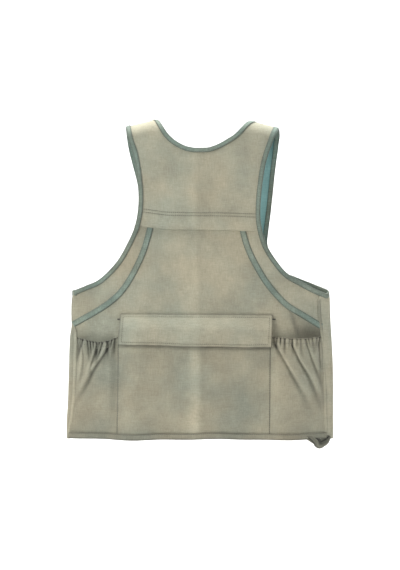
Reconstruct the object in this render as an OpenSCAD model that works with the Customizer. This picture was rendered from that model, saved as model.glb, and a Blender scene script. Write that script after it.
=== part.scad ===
// Fishing vest, hung by its shoulders: back towards -Y, front towards +Y, +Z up.
// The origin is midway between the shoulders, level with their tops. Millimetres.
// Every cloth piece lies between two offsets from the inner face of the lining.

/* [Overall size] */
// Shoulder top to hem
vest_length = 642; // [625:1:660]
// Half width at the hem
hem_half_width = 267; // [262:1:272]
// Half width at the bottom of the armholes
pit_half_width = 256; // [250:1:258]
// Depth of the bottom of the armholes below the shoulders
pit_depth = 344; // [336:1:350]
// Half the distance between the back lining and the front lining
half_depth = 24; // [22:1:28]
// Half width of the flat middle of back and front
flat_half_width = 156; // [155:1:158]
// Slope of the sides towards the side seams, in degrees
wing_angle = 10.7; // [9:0.1:11]
// Slope of the shoulders, in degrees
shoulder_angle = 13.5; // [11:0.5:15]

/* [Neck and shoulders] */
// Half width of the neck at the shoulders
neck_half_width = 100; // [96:1:104]
// Depth of the back neckline
back_neck_depth = 59; // [50:1:65]
// Depth of the V at the front, where the zip starts
front_neck_depth = 225; // [223:1:227]
// Half width over the shoulder points
shoulder_half_width = 152; // [149:1:155]
// Width of the binding tape on the edges
binding_width = 10; // [8:1:11]

/* [Back] */
// Depth of the free lower edge of the yoke
yoke_depth = 223; // [215:1:230]
// Width of the tape over the curved back seams
seam_tape_width = 11; // [8:1:12]
// Height of the hem band
hem_height = 11; // [9:1:12]

/* [Back pouch] */
// Half width of the pouch
pouch_half_width = 153; // [140:1:154]
// Depth of the pouch mouth below the shoulders
pouch_mouth_depth = 421; // [419:1:426]
// Inner depth of the pouch, back to front
pouch_room = 9; // [7:0.5:10]
// Depth of the top edge of the flap
pouch_flap_top = 389; // [385:1:391]
// Height of the flap
pouch_flap_height = 66; // [60:1:72]

/* [Side pockets] */
// Depth of the elastic mouths below the shoulders
side_mouth_depth = 438; // [430:1:450]
// Inner depth of a side pocket, back to front
side_pocket_room = 9; // [7:0.5:10]

/* [Front] */
// Distance from the centre line to each front edge
front_edge = 12; // [12:0.5:13]
// Width of each chest pocket
chest_pocket_width = 94; // [80:1:95]
// Height of each chest pocket below its mouth
chest_pocket_height = 92; // [80:1:100]
// Width of each lower pocket
cargo_pocket_width = 124; // [110:1:125]
// Height of each lower pocket below its mouth
cargo_pocket_height = 150; // [130:1:155]
// Radius of a snap cap
snap_cap_radius = 6; // [5:0.5:7]

/* [Zip] */
// Length of the slider
slider_length = 14; // [12:1:16]
// Length of the pull tab
pull_length = 32; // [24:1:40]

/* [Hidden] */
$fn = 48;

LEFT = -1;
RIGHT = 1;
canvas = [0.72, 0.71, 0.60];
canvas_dark = [0.62, 0.62, 0.52];
tape_green = [0.55, 0.61, 0.56];
lining_teal = [0.43, 0.58, 0.60];
metal = [0.55, 0.52, 0.42];
dark_trim = [0.25, 0.27, 0.22];

// Cloth layers, as offsets outwards from the inner face of the lining
lining_layer = [0, 1];
shell_layer = [1.2, 2.4];
yoke_layer = [2.7, 3.9];
tape_layer = [2.7, 3.4];
binding_outside = [-1.2, 5.2];
binding_inside = [-0.2, 4.1];
hem_outside = [-1.2, 3.8];
hem_inside = [-0.2, 2.6];
on_shell = 2.7;
cloth = 1.2;
gap = 0.3;

reach = 300;
hem_z = -vest_length;
yoke_z = -yoke_depth;
seam_top_z = yoke_z + 18;
flap_slant = 29;
curve_steps = 10;

// Place along a cubic curve with four control points
function bezier(p, t) = pow(1 - t, 3) * p[0] + 3 * pow(1 - t, 2) * t * p[1]
    + 3 * (1 - t) * t * t * p[2] + pow(t, 3) * p[3];
function curve(p, from = 0, to = 1) =
    [for (i = [0:curve_steps]) bezier(p, from + (to - from) * i / curve_steps)];
function reversed(p) = [for (i = [len(p) - 1:-1:0]) p[i]];
function mirrored(p) = [for (q = reversed(p)) [-q[0], q[1]]];
function without_first(p) = [for (i = [1:len(p) - 1]) p[i]];
function unit(v) = v / norm(v);
function left_normal(v) = [-unit(v)[1], unit(v)[0]];
// A line moved sideways by d, to the left of its direction
function moved_aside(p, d) = [for (i = [0:len(p) - 1])
    p[i] + d * left_normal(p[min(i + 1, len(p) - 1)] - p[max(i - 1, 0)])];
function band(p, left, right) =
    concat(moved_aside(p, left), reversed(moved_aside(p, -right)));

// Edge lines of the right half, as [x, z]
function back_neck_half() = curve([
    [0, -back_neck_depth], [0.45 * neck_half_width, -back_neck_depth],
    [0.7 * neck_half_width, -0.6 * back_neck_depth], [neck_half_width, -2]]);
function front_neck_half() = curve([
    [front_edge, -front_neck_depth], [34, -0.67 * front_neck_depth],
    [0.8 * neck_half_width, -70], [neck_half_width, -2]]);
neck_top = [neck_half_width + 4, 8];
armhole_top = [shoulder_half_width + 4, -2];
shoulder_point = [shoulder_half_width, -15];
pit = [pit_half_width, -pit_depth];
back_upper_armhole = [shoulder_point, [136, -50], [122, -105], [121, -160]];
back_lower_armhole = [[121, -160], [119, -265], [175, -0.945 * pit_depth], pit];
front_upper_armhole = [shoulder_point, [148, -70], [131, -140], [129, -210]];
front_lower_armhole = [[129, -210], [127, -275], [170, -0.96 * pit_depth], pit];
function back_armhole() =
    concat([armhole_top], curve(back_upper_armhole), without_first(curve(back_lower_armhole)));
function front_armhole() =
    concat([armhole_top], curve(front_upper_armhole), without_first(curve(front_lower_armhole)));
function back_outline() =
    let (half = concat(without_first(back_neck_half()), [neck_top], back_armhole(),
        [[hem_half_width, hem_z]]))
    concat(half, mirrored(half));
function front_outline() = concat(front_neck_half(), [neck_top], front_armhole(),
    [[hem_half_width, hem_z], [front_edge, hem_z]]);
back_seam = [[88, seam_top_z], [106, -315], [165, -368], [263, -419]];
tape_line = curve(back_seam, 0.09, 0.955);

// The swing line of a front: from the shoulder point down to the side of the hem
swing_top = [flat_half_width, -60];
swing_foot = [hem_half_width - 12, -640];
swing_slope = (swing_foot[0] - swing_top[0]) / (swing_foot[1] - swing_top[1]);
function swing_x(z) = swing_top[0] + swing_slope * (z - swing_top[1]);
strap_z = -front_neck_depth;

// Heights on the front
chest_top_z = -258;
chest_mouth_z = chest_top_z - flap_slant - 2;
chest_left = 28;
chest_room = 8;
chest_flap_height = 50;
cargo_top_z = -432;
cargo_mouth_z = cargo_top_z - flap_slant - 2;
cargo_left = 29;
cargo_room = 16;
cargo_flap_height = 58;
snap_drop = 10;
stud_radius = 3.4;
stud_height = 1.4;
cap_height = 1.6;

// Zip, right-hand side
teeth = [6, 8.6];
teeth_layer = [1.6, 4.4];
zip_tape_layer = [2.7, 3.3];
zip_top_z = strap_z - 4;
zip_foot_z = hem_z + 20;
slider_x = [2.6, 11.6];
slider_layer = [-0.6, 6.4];
pin_radius = 0.8;
pin_clearance = 0.05;
barrel_radius = 1.8;
ear_thickness = 1;
pull_width = 6;
pull_hole_radius = 1.5;

// ---- Cloth layers ----

// Distance of the layer at offset d from the middle plane, at distance x from the centre line
function layer_y(d, x) = x < flat_half_width ? half_depth + d
    : half_depth + d / cos(wing_angle) - (x - flat_half_width) * tan(wing_angle);
function plan_half(d) = [
    [flat_half_width + d * tan(wing_angle / 2), -(half_depth + d)],
    [reach, -layer_y(d, reach)]];
function plan_line(d) = concat(mirrored(plan_half(d)), plan_half(d));

// Height of the shoulder roll's axis at distance x from the centre line
roll_z = -(half_depth + yoke_layer[1]) / cos(shoulder_angle);
function roll_axis_z(x) = roll_z - (x - neck_half_width) * tan(shoulder_angle);

// A flat outline in [x, z], run through the whole depth
module through(outline) {
    rotate([90, 0, 0])
        linear_extrude(height = 160, center = true)
            polygon(outline);
}

module on_side(side) {
    mirror([side < 0 ? 1 : 0, 0, 0]) children();
}

module in_front() {
    mirror([0, 1, 0]) children();
}

// The back wall between two offsets, up to the shoulder rolls
module wall(layer) {
    intersection() {
        translate([0, 0, hem_z - 20])
            linear_extrude(height = vest_length + 40)
                polygon(concat(plan_line(layer[0]), reversed(plan_line(layer[1]))));
        through([[reach, hem_z - 30], [reach, roll_axis_z(reach)], [0, roll_axis_z(0)],
            [-reach, roll_axis_z(reach)], [-reach, hem_z - 30]]);
    }
}

// The back quarter of one shoulder roll between two offsets
module roll(layer) {
    translate([neck_half_width, 0, roll_z])
        rotate([0, shoulder_angle, 0])
            intersection() {
                rotate([0, 90, 0]) difference() {
                    cylinder(h = 180, r = half_depth + layer[1], center = true);
                    cylinder(h = 190, r = half_depth + layer[0], center = true);
                }
                translate([-85, -60, 0]) cube([170, 60, 60]);
            }
}

// A cloth piece of the back: wall and both shoulder rolls, cut to an outline
module back_cloth(layer, outline) {
    intersection() {
        union() {
            wall(layer);
            for (side = [LEFT, RIGHT]) on_side(side) roll(layer);
        }
        through(outline);
    }
}

// A cloth piece with no part on the shoulders
module back_patch(layer, outline) {
    intersection() {
        wall(layer);
        through(outline);
    }
}

module front_cloth(layer, outline) {
    in_front() back_cloth(layer, outline);
}

module front_patch(layer, outline) {
    in_front() back_patch(layer, outline);
}

function rectangle(x0, x1, z0, z1) = [[x0, z0], [x1, z0], [x1, z1], [x0, z1]];

// A pocket bag open at its top and against the cloth, with walls one cloth thick
module pocket_tray(room, outline, hollow) {
    difference() {
        back_patch([on_shell, on_shell + room + cloth], outline);
        back_patch([on_shell - 1, on_shell + room], hollow);
    }
}

module square_pocket(room, x0, x1, z0, z1) {
    pocket_tray(room, rectangle(x0, x1, z0, z1),
        rectangle(x0 + cloth, x1 - cloth, z0 + cloth, z1 + 5));
}

// A flap that starts on the cloth at its top, slants out past the mouth and hangs straight.
// Its section runs in the plane across the seam.
module flap(x0, x1, top_z, height, room) {
    out = room + cloth + 1.9;
    translate([x0, 0, 0])
        rotate([90, 0, 90])
            linear_extrude(height = x1 - x0)
                polygon([
                    [-(half_depth + on_shell), top_z],
                    [-(half_depth + on_shell + cloth), top_z],
                    [-(half_depth + on_shell + out + cloth), top_z - flap_slant],
                    [-(half_depth + on_shell + out + cloth), top_z - height],
                    [-(half_depth + on_shell + out), top_z - height],
                    [-(half_depth + on_shell + out), top_z - flap_slant],
                    [-(half_depth + on_shell), top_z - 1.5]]);
}

// ---- Back ----

module back_panel() {
    seam = curve(back_seam);
    half = concat(without_first(back_neck_half()), [neck_top, armhole_top],
        curve(back_upper_armhole), [[124, seam_top_z]], seam,
        [[hem_half_width + 10, hem_z + 1.4]]);
    color(canvas) intersection() {
        back_cloth(shell_layer, concat(half, mirrored(half)));
        through(back_outline());
    }
}

module back_lining() {
    color(lining_teal) intersection() {
        back_cloth(lining_layer, back_outline());
        through(rectangle(-reach, reach, hem_z + 1.4, 20));
    }
}

// The cape across the shoulders, with a lapped end on the front of each strap
module back_yoke() {
    lap = 22;
    half = concat(without_first(back_neck_half()), [neck_top, armhole_top],
        curve(back_upper_armhole), curve(back_lower_armhole, 0.05, 0.22));
    foot = half[len(half) - 1];
    outline = concat(half, [[foot[0] - 0.5, yoke_z]], [[-foot[0] + 0.5, yoke_z]], mirrored(half));
    color(canvas) union() {
        intersection() {
            back_cloth(yoke_layer, outline);
            through(rectangle(-reach, reach, yoke_z, 20));
        }
        for (side = [LEFT, RIGHT]) on_side(side)
            intersection() {
                front_cloth(yoke_layer, front_outline());
                through([[70, roll_axis_z(70) - lap], [170, roll_axis_z(170) - lap],
                    [170, 20], [70, 20]]);
            }
    }
}

module underarm_panel(side) {
    seam = moved_aside(curve(back_seam), gap);
    outline = concat(reversed(seam),
        [for (q = curve(back_lower_armhole, 0.2, 1)) q], [[pit_half_width + 2, -405]]);
    color(canvas) on_side(side) intersection() {
        back_patch(shell_layer, outline);
        through([[80, seam_top_z - gap], [80, hem_z], [hem_half_width, hem_z], pit, [pit[0], 0],
            [140, seam_top_z - gap]]);
    }
}

module seam_tape(side) {
    color(tape_green) on_side(side)
        back_patch(tape_layer, band(tape_line, seam_tape_width / 2, seam_tape_width / 2));
}

// A folded tape round an edge line, with the cloth to the right of the line's direction:
// the cloth lies in the slot between the tape's two leaves
module folded_binding(line) {
    outer = 1.7;
    slot = 0.6;
    difference() {
        back_cloth(binding_outside, band(line, outer, binding_width));
        back_cloth(binding_inside, band(line, slot, binding_width + 1));
    }
}

module neck_binding() {
    half = concat(back_neck_half(), [neck_top]);
    line = concat(mirrored(without_first(half)), half);
    color(tape_green) union() {
        folded_binding(line);
        for (side = [LEFT, RIGHT]) on_side(side)
            in_front() intersection() {
                folded_binding(concat(front_neck_half(), [neck_top]));
                through(rectangle(0, 130, strap_z + 1, 20));
            }
    }
}

// The tape round one armhole: back edge, shoulder and front strap, and the short
// stretch on the side of the front
module armhole_binding(side) {
    lower = curve(front_lower_armhole, 0.78, 0.985);
    color(tape_green) on_side(side) union() {
        folded_binding(back_armhole());
        in_front() intersection() {
            folded_binding(front_armhole());
            through(rectangle(0, 200, strap_z + 1, 20));
        }
        in_front() folded_binding(lower);
    }
}

// Taped strip that joins back and front at the side
module side_seam(side) {
    top_z = -pit_depth - 2;
    color(canvas_dark) on_side(side)
        rotate([90, 0, 0])
            linear_extrude(height = 2 * layer_y(shell_layer[1], pit_half_width), center = true)
                polygon([[pit_half_width + gap, top_z], [hem_half_width + gap, hem_z],
                    [hem_half_width + gap + cloth, hem_z], [pit_half_width + gap + cloth, top_z]]);
}

// Folded band round a bottom edge
module hem(x0, x1) {
    difference() {
        back_patch(hem_outside, rectangle(x0, x1, hem_z, hem_z + hem_height));
        back_patch(hem_inside, rectangle(x0 - 1, x1 + 1, hem_z + cloth, hem_z + hem_height + 1));
    }
}

module hem_band_back() {
    color(canvas_dark) hem(-hem_half_width + 1, hem_half_width - 1);
}

// Flat loop of tape sewn inside the back neck, hanging down
module hang_loop() {
    loop_width = 50;
    loop_drop = 22;
    tape = 6;
    top_z = -back_neck_depth - 5;
    color(tape_green)
        translate([0, -(half_depth - 2.2), 0])
            rotate([90, 0, 0])
                linear_extrude(height = cloth, center = true)
                    difference() {
                        translate([-loop_width / 2, top_z - loop_drop]) square([loop_width, loop_drop]);
                        translate([-loop_width / 2 + tape, top_z - loop_drop + tape])
                            square([loop_width - 2 * tape, loop_drop - tape + 1]);
                    }
}

// ---- Pouch and side pockets ----

module pouch_panel() {
    color(canvas) square_pocket(pouch_room, -pouch_half_width, pouch_half_width,
        hem_z + hem_height + 1, -pouch_mouth_depth);
}

module pouch_flap() {
    color(canvas) flap(-pouch_half_width + 1, pouch_half_width - 1, -pouch_flap_top,
        pouch_flap_height, pouch_room);
}

// Short dense rows of stitching that hold the ends of the pouch mouth
module bar_tacks() {
    color(dark_trim)
        for (side = [LEFT, RIGHT]) on_side(side)
            back_patch([on_shell, on_shell + 0.8],
                rectangle(pouch_half_width - 7, pouch_half_width - 1, -pouch_flap_top + 3,
                    -pouch_flap_top + 5));
}

side_inner = pouch_half_width + 4;
side_foot_z = hem_z + hem_height + 1;
function side_outer(z) = pit_half_width - 3
    + (hem_half_width - pit_half_width) * (-pit_depth - z) / (vest_length - pit_depth);
function side_outline(inset, top_z) = [
    [side_inner + inset, side_foot_z + inset],
    [side_outer(side_foot_z) - inset, side_foot_z + inset],
    [side_outer(top_z) - inset, top_z], [side_inner + inset, top_z]];

module side_pocket(side) {
    color(canvas) on_side(side) pocket_tray(side_pocket_room,
        side_outline(0, -side_mouth_depth), side_outline(cloth, -side_mouth_depth + 5));
}

// Elastic tape that draws the mouth in, on the inside of the pocket
module mouth_elastic(side) {
    elastic_layer = [on_shell + side_pocket_room - 1.3, on_shell + side_pocket_room - 0.3];
    color(dark_trim) on_side(side)
        back_patch(elastic_layer, rectangle(side_inner + 3, side_outer(-side_mouth_depth) - 3,
            -side_mouth_depth - 8, -side_mouth_depth - 2));
}

// ---- Front ----

swing_zone = [[0, strap_z - 0.5], [swing_x(strap_z) - 2, strap_z - 0.5],
    [swing_x(hem_z - 20) - 2, hem_z - 20], [0, hem_z - 20]];
strap_zone = [[0, strap_z + 0.5], [reach, strap_z + 0.5], [reach, roll_axis_z(reach) - 0.5],
    [0, roll_axis_z(0) - 0.5]];
side_zone = [[swing_x(strap_z) + 2, strap_z], [reach, strap_z], [reach, hem_z + 1.4],
    [swing_x(hem_z + 1.4) + 2, hem_z + 1.4]];

module front_piece(side, layer, zone, foot) {
    on_side(side) intersection() {
        front_patch(layer, front_outline());
        through(zone);
        through(rectangle(0, reach, foot, 20));
    }
}

module front_strap(side) {
    color(canvas) front_piece(side, shell_layer, strap_zone, hem_z);
}

module strap_lining(side) {
    color(lining_teal) on_side(side) intersection() {
        front_cloth(lining_layer, front_outline());
        through(rectangle(0, reach, strap_z + 0.5, 20));
        translate([0, gap, -front_neck_depth]) cube([reach, 100, 300]);
    }
}

module front_side(side) {
    color(canvas) front_piece(side, [0.3, shell_layer[1]], side_zone, hem_z);
}

module front_panel(side) {
    color(canvas) front_piece(side, shell_layer, swing_zone, hem_z + 1.4);
}

module front_lining(side) {
    color(lining_teal) front_piece(side, lining_layer, swing_zone, hem_z + 1.4);
}

module front_armhole_binding(side) {
    color(tape_green) on_side(side) in_front() intersection() {
        folded_binding(curve(front_lower_armhole, 0.05, 0.77));
        through(swing_zone);
    }
}

module front_hem(side) {
    color(canvas_dark) on_side(side) in_front() intersection() {
        hem(front_edge, hem_half_width);
        through(swing_zone);
    }
}

module chest_pocket(side) {
    color(canvas) on_side(side) in_front() square_pocket(chest_room, chest_left,
        chest_left + chest_pocket_width, chest_mouth_z - chest_pocket_height, chest_mouth_z);
}

module chest_flap(side) {
    color(canvas) on_side(side) in_front() flap(chest_left - 1, chest_left + chest_pocket_width + 1,
        chest_top_z, chest_flap_height, chest_room);
}

module cargo_pocket(side) {
    color(canvas) on_side(side) in_front() square_pocket(cargo_room, cargo_left,
        cargo_left + cargo_pocket_width, cargo_mouth_z - cargo_pocket_height, cargo_mouth_z);
}

module cargo_flap(side) {
    color(canvas) on_side(side) in_front() flap(cargo_left - 1, cargo_left + cargo_pocket_width + 1,
        cargo_top_z, cargo_flap_height, cargo_room);
}

chest_snap = [chest_left + chest_pocket_width / 2, chest_top_z - chest_flap_height + snap_drop];
cargo_snap = [cargo_left + cargo_pocket_width / 2, cargo_top_z - cargo_flap_height + snap_drop];

// A round fastener on the front, standing out from offset d
module snap_disc(place, d, height, radius) {
    translate([place[0], half_depth + d, place[1]])
        rotate([-90, 0, 0])
            cylinder(h = height, r = radius);
}

module snap_studs(side) {
    color(metal) on_side(side) {
        snap_disc(chest_snap, on_shell + chest_room + cloth + 0.05, stud_height, stud_radius);
        snap_disc(cargo_snap, on_shell + cargo_room + cloth + 0.05, stud_height, stud_radius);
    }
}

module chest_cap(side) {
    color(metal) on_side(side)
        snap_disc(chest_snap, on_shell + chest_room + 2 * cloth + 1.95, cap_height, snap_cap_radius);
}

module cargo_cap(side) {
    color(metal) on_side(side)
        snap_disc(cargo_snap, on_shell + cargo_room + 2 * cloth + 1.95, cap_height, snap_cap_radius);
}

// ---- Zip ----

// A block on the front, given by its x, layer and z spans
module front_block(x, layer, z) {
    translate([x[0], half_depth + layer[0], z[0]])
        cube([x[1] - x[0], layer[1] - layer[0], z[1] - z[0]]);
}

module zip_tape(side) {
    color(tape_green) on_side(side)
        front_block([teeth[1] + 0.05, 24], zip_tape_layer, [zip_foot_z, zip_top_z]);
}

// A row of teeth on a cord: each tooth stands out past the cord
module zip_teeth(side) {
    pitch = 6;
    tooth_length = 3;
    color(metal) on_side(side) union() {
        front_block([teeth[0] + 0.8, teeth[1]], teeth_layer + [0.6, -0.6], [zip_foot_z, zip_top_z]);
        for (z = [zip_foot_z:pitch:zip_top_z - tooth_length])
            front_block(teeth, teeth_layer, [z, z + tooth_length]);
    }
}

module zip_pin() {
    color(metal) on_side(LEFT)
        front_block([teeth[0], teeth[1] + 0.2], teeth_layer, [hem_z + 2, zip_foot_z - gap]);
}

module zip_box() {
    color(metal) front_block([3.4, 11.6], [0.3, 5.7], [hem_z + 2, zip_foot_z - gap]);
}

slider_z = [zip_foot_z + 1, zip_foot_z + 1 + slider_length];
hinge_place = [7.1, half_depth + slider_layer[1] + barrel_radius + 0.4, slider_z[1] - 4];

// Slider closed round the right-hand teeth, with two ears and a pin for the pull
module zip_slider() {
    ear_reach = 3.4;
    color(metal) union() {
        difference() {
            front_block(slider_x, slider_layer, slider_z);
            front_block([teeth[0] - 0.4, teeth[1] + 0.4], teeth_layer + [-0.4, 0.4],
                slider_z + [-1, 1]);
            front_block([teeth[1], slider_x[1] + 1], zip_tape_layer + [-0.4, 0.4],
                slider_z + [-1, 1]);
        }
        for (side = [-1, 1])
            translate([hinge_place[0] + side * ear_reach - ear_thickness / 2,
                half_depth + slider_layer[1], hinge_place[2] - 1.5])
                cube([ear_thickness, barrel_radius + 1.6, 3]);
        translate(hinge_place)
            rotate([0, 90, 0])
                cylinder(h = 2 * ear_reach, r = pin_radius, center = true);
    }
}

// Pull tab: a barrel on the slider's pin, a flat tab and a hole at its free end
module zip_pull() {
    tab_thickness = 1.6;
    color(metal) translate(hinge_place) difference() {
        union() {
            rotate([0, 90, 0]) cylinder(h = 5.4, r = barrel_radius, center = true);
            translate([-pull_width / 2 + 0.3, -tab_thickness / 2, -pull_length])
                cube([pull_width - 0.6, tab_thickness, pull_length - 1]);
            translate([0, 0, -pull_length])
                rotate([90, 0, 0])
                    cylinder(h = tab_thickness, r = pull_width / 2 + 0.5, center = true);
        }
        rotate([0, 90, 0]) cylinder(h = 20, r = pin_radius + pin_clearance, center = true);
        translate([0, 0, -pull_length])
            rotate([90, 0, 0])
                cylinder(h = 10, r = pull_hole_radius, center = true);
    }
}

back_panel();
back_lining();
back_yoke();
underarm_panel(LEFT);  // underarm_panel_left
underarm_panel(RIGHT);  // underarm_panel_right
seam_tape(LEFT);  // seam_tape_left
seam_tape(RIGHT);  // seam_tape_right
neck_binding();
armhole_binding(LEFT);  // armhole_binding_left
armhole_binding(RIGHT);  // armhole_binding_right
side_seam(LEFT);  // side_seam_left
side_seam(RIGHT);  // side_seam_right
hem_band_back();
hang_loop();
pouch_panel();
pouch_flap();
bar_tacks();
side_pocket(LEFT);  // side_pocket_left
side_pocket(RIGHT);  // side_pocket_right
mouth_elastic(LEFT);  // mouth_elastic_left
mouth_elastic(RIGHT);  // mouth_elastic_right
front_strap(LEFT);  // front_strap_left
front_strap(RIGHT);  // front_strap_right
strap_lining(LEFT);  // strap_lining_left
strap_lining(RIGHT);  // strap_lining_right
front_side(LEFT);  // front_side_left
front_side(RIGHT);  // front_side_right
front_panel(LEFT);  // front_panel_left
front_panel(RIGHT);  // front_panel_right
front_lining(LEFT);  // front_lining_left
front_lining(RIGHT);  // front_lining_right
front_armhole_binding(LEFT);  // front_armhole_binding_left
front_armhole_binding(RIGHT);  // front_armhole_binding_right
front_hem(LEFT);  // front_hem_left
front_hem(RIGHT);  // front_hem_right
chest_pocket(LEFT);  // chest_pocket_left
chest_pocket(RIGHT);  // chest_pocket_right
chest_flap(LEFT);  // chest_flap_left
chest_flap(RIGHT);  // chest_flap_right
cargo_pocket(LEFT);  // cargo_pocket_left
cargo_pocket(RIGHT);  // cargo_pocket_right
cargo_flap(LEFT);  // cargo_flap_left
cargo_flap(RIGHT);  // cargo_flap_right
snap_studs(LEFT);  // snap_studs_left
snap_studs(RIGHT);  // snap_studs_right
chest_cap(LEFT);  // chest_cap_left
chest_cap(RIGHT);  // chest_cap_right
cargo_cap(LEFT);  // cargo_cap_left
cargo_cap(RIGHT);  // cargo_cap_right
zip_tape(LEFT);  // zip_tape_left
zip_tape(RIGHT);  // zip_tape_right
zip_teeth(LEFT);  // zip_teeth_left
zip_teeth(RIGHT);  // zip_teeth_right
zip_pin();
zip_box();
zip_slider();
zip_pull();
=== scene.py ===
"""Fishing vest: cloth, tapes, stitches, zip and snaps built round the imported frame."""

import bmesh
import bpy
import numpy as np
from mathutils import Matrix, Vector


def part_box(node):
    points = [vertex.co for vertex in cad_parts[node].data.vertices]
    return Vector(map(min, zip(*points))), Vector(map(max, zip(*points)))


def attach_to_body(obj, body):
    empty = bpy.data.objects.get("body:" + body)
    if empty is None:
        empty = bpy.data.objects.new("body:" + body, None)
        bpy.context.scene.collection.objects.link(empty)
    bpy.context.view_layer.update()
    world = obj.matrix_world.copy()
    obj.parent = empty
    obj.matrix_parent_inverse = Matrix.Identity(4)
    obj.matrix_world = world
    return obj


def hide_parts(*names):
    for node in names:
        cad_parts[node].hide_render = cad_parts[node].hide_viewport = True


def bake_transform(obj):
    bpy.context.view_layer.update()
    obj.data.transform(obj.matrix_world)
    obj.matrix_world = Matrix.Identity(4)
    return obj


bl_info = {
    "name": "Fishing Vest",
    "version": (1, 0, 0),
    "blender": (4, 5, 0),
    "location": "View3D > Sidebar > Vest",
    "description": "Builds the cloth, tapes, stitches and metal of a fishing vest",
    "category": "Object",
}

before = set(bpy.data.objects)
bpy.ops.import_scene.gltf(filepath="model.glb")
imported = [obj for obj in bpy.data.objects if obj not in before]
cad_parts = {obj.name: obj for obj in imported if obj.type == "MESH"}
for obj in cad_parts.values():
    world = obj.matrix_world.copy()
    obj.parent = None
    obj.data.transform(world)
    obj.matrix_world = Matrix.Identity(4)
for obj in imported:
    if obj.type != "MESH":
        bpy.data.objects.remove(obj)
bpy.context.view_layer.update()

MM = 0.001
LEFT, RIGHT = -1, 1
BACK, FRONT = -1, 1
SIDES = ((LEFT, "left"), (RIGHT, "right"))


def node_box(node):
    """Lowest and highest corner of a frame node, in millimetres."""
    low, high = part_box(node)
    return np.array(low) / MM, np.array(high) / MM


# Heights and depths read from the frame, in millimetres
SHELL_TOP = 2.4
HALF_DEPTH = -node_box("back_panel")[0][1] - SHELL_TOP
HEM_Z = node_box("hem_band_back")[0][2]
YOKE_Z = node_box("back_yoke")[0][2]
V_Z = node_box("front_panel_right")[1][2]
POUCH_HINGE_Z = node_box("pouch_flap")[1][2]

# Plan of the walls: level in the middle, falling off to the sides
WING_START = 156.0
WING_FALL = np.tan(np.radians(10.7))
WING_BEND = 8.0
# Shoulder rolls
NECK_HALF = 100.0
SHOULDER_FALL = np.tan(np.radians(13.5))
AXIS_K = -28.7
ROLL_ARC = 41.0
TOP = AXIS_K + ROLL_ARC
LEAN_FROM = -130.0
# Layers, as distances outwards from the inner face of the lining
LINING_D = 0.4
SHELL_D = 1.8
YOKE_D = 3.3
TAPE_D = 3.0
FRONT_HEM_D = 3.4
BACK_HEM_D = 5.4
HEM_INNER_D = -0.8
# Thickness of the light cloths and of the tapes
LIGHT_CLOTH = 0.6
FLAT_TAPE = 0.7
# Width of the hem band, and how far its stitches lie from the bottom edge
HEM_WIDTH = 11.0
HEM_STITCH = 9.4
# Distances of the stitch rows from the yoke's free edge
YOKE_ROWS = (28.5, 34.5)


# ---------------------------------------------------------------- settings


class VestSizes(bpy.types.PropertyGroup):
    """Sizes of the sewn details, in millimetres."""

    cloth: bpy.props.FloatProperty(
        name="Cloth", description="Thickness of the canvas, mm", default=0.9)
    binding: bpy.props.FloatProperty(
        name="Binding", description="Width of the edge binding, mm", default=8.0)
    seam_tape: bpy.props.FloatProperty(
        name="Seam tape", description="Width of the curved seam tape, mm", default=12.0)
    stitch: bpy.props.FloatProperty(
        name="Stitch", description="Length of one stitch, mm", default=3.0)
    stitch_gap: bpy.props.FloatProperty(
        name="Stitch gap", description="Gap between two stitches, mm", default=0.9)
    thread: bpy.props.FloatProperty(
        name="Thread", description="Width of the thread, mm", default=0.85)
    crease: bpy.props.FloatProperty(
        name="Crease", description="Height of the storage crease, mm", default=2.6)
    pucker: bpy.props.FloatProperty(
        name="Pucker", description="Depth of a pucker at a mouth, mm", default=4.6)
    flap_inset: bpy.props.FloatProperty(
        name="Flap inset", description="Stitch line's distance from a flap's edge, mm",
        default=6.0)
    seed: bpy.props.IntProperty(
        name="Seed", description="Seed of the puckers", default=7)


class VestColours(bpy.types.PropertyGroup):
    """Colours of the cloths, the thread and the metal."""

    canvas_warm: bpy.props.FloatVectorProperty(
        name="Canvas, warm", description="Beige tint of the canvas", subtype="COLOR",
        size=3, default=(0.445, 0.410, 0.298))
    canvas_green: bpy.props.FloatVectorProperty(
        name="Canvas, green", description="Grey green tint of the canvas", subtype="COLOR",
        size=3, default=(0.352, 0.364, 0.286))
    lining: bpy.props.FloatVectorProperty(
        name="Lining", description="Teal lining", subtype="COLOR", default=(0.31, 0.53, 0.52))
    tape: bpy.props.FloatVectorProperty(
        name="Tape", description="Binding and seam tape", subtype="COLOR", size=3,
        default=(0.215, 0.250, 0.200))
    thread: bpy.props.FloatVectorProperty(
        name="Thread", description="Stitching thread", subtype="COLOR", size=3,
        default=(0.105, 0.105, 0.075))
    metal: bpy.props.FloatVectorProperty(
        name="Metal", description="Aged brass", subtype="COLOR", size=3,
        default=(0.42, 0.33, 0.18))


def sizes():
    """The sizes set in this scene."""
    return bpy.context.scene.vest_sizes


def colours():
    """The colours set in this scene."""
    return bpy.context.scene.vest_colours


# ---------------------------------------------------------------- shapes in numbers


def smooth(t):
    """Smooth step: 0 below 0, 1 above 1, 3t^2 - 2t^3 between."""
    t = np.clip(t, 0.0, 1.0)
    return t * t * (3 - 2 * t)


def hill(t):
    """Bell of height 1 at 0: exp(-t^2)."""
    return np.exp(-np.square(t))


def curve(points, step=3.0):
    """Smooth line through the points: cubic pieces whose slope at each point follows
    its two neighbours, sampled about every step millimetres."""
    p = np.array(points, float)
    padded = np.vstack([2 * p[0] - p[1], p, 2 * p[-1] - p[-2]])
    a, b, c, d = padded[:-3], padded[1:-2], padded[2:-1], padded[3:]
    t = np.linspace(0, 1, 33)[:-1, None, None]
    line = 0.5 * (2 * b + (c - a) * t + (2 * a - 5 * b + 4 * c - d) * t**2
                  + (3 * b - a - 3 * c + d) * t**3)
    line = np.vstack([line.transpose(1, 0, 2).reshape(-1, p.shape[1]), p[-1:]])
    return resampled(line, step)


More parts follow.
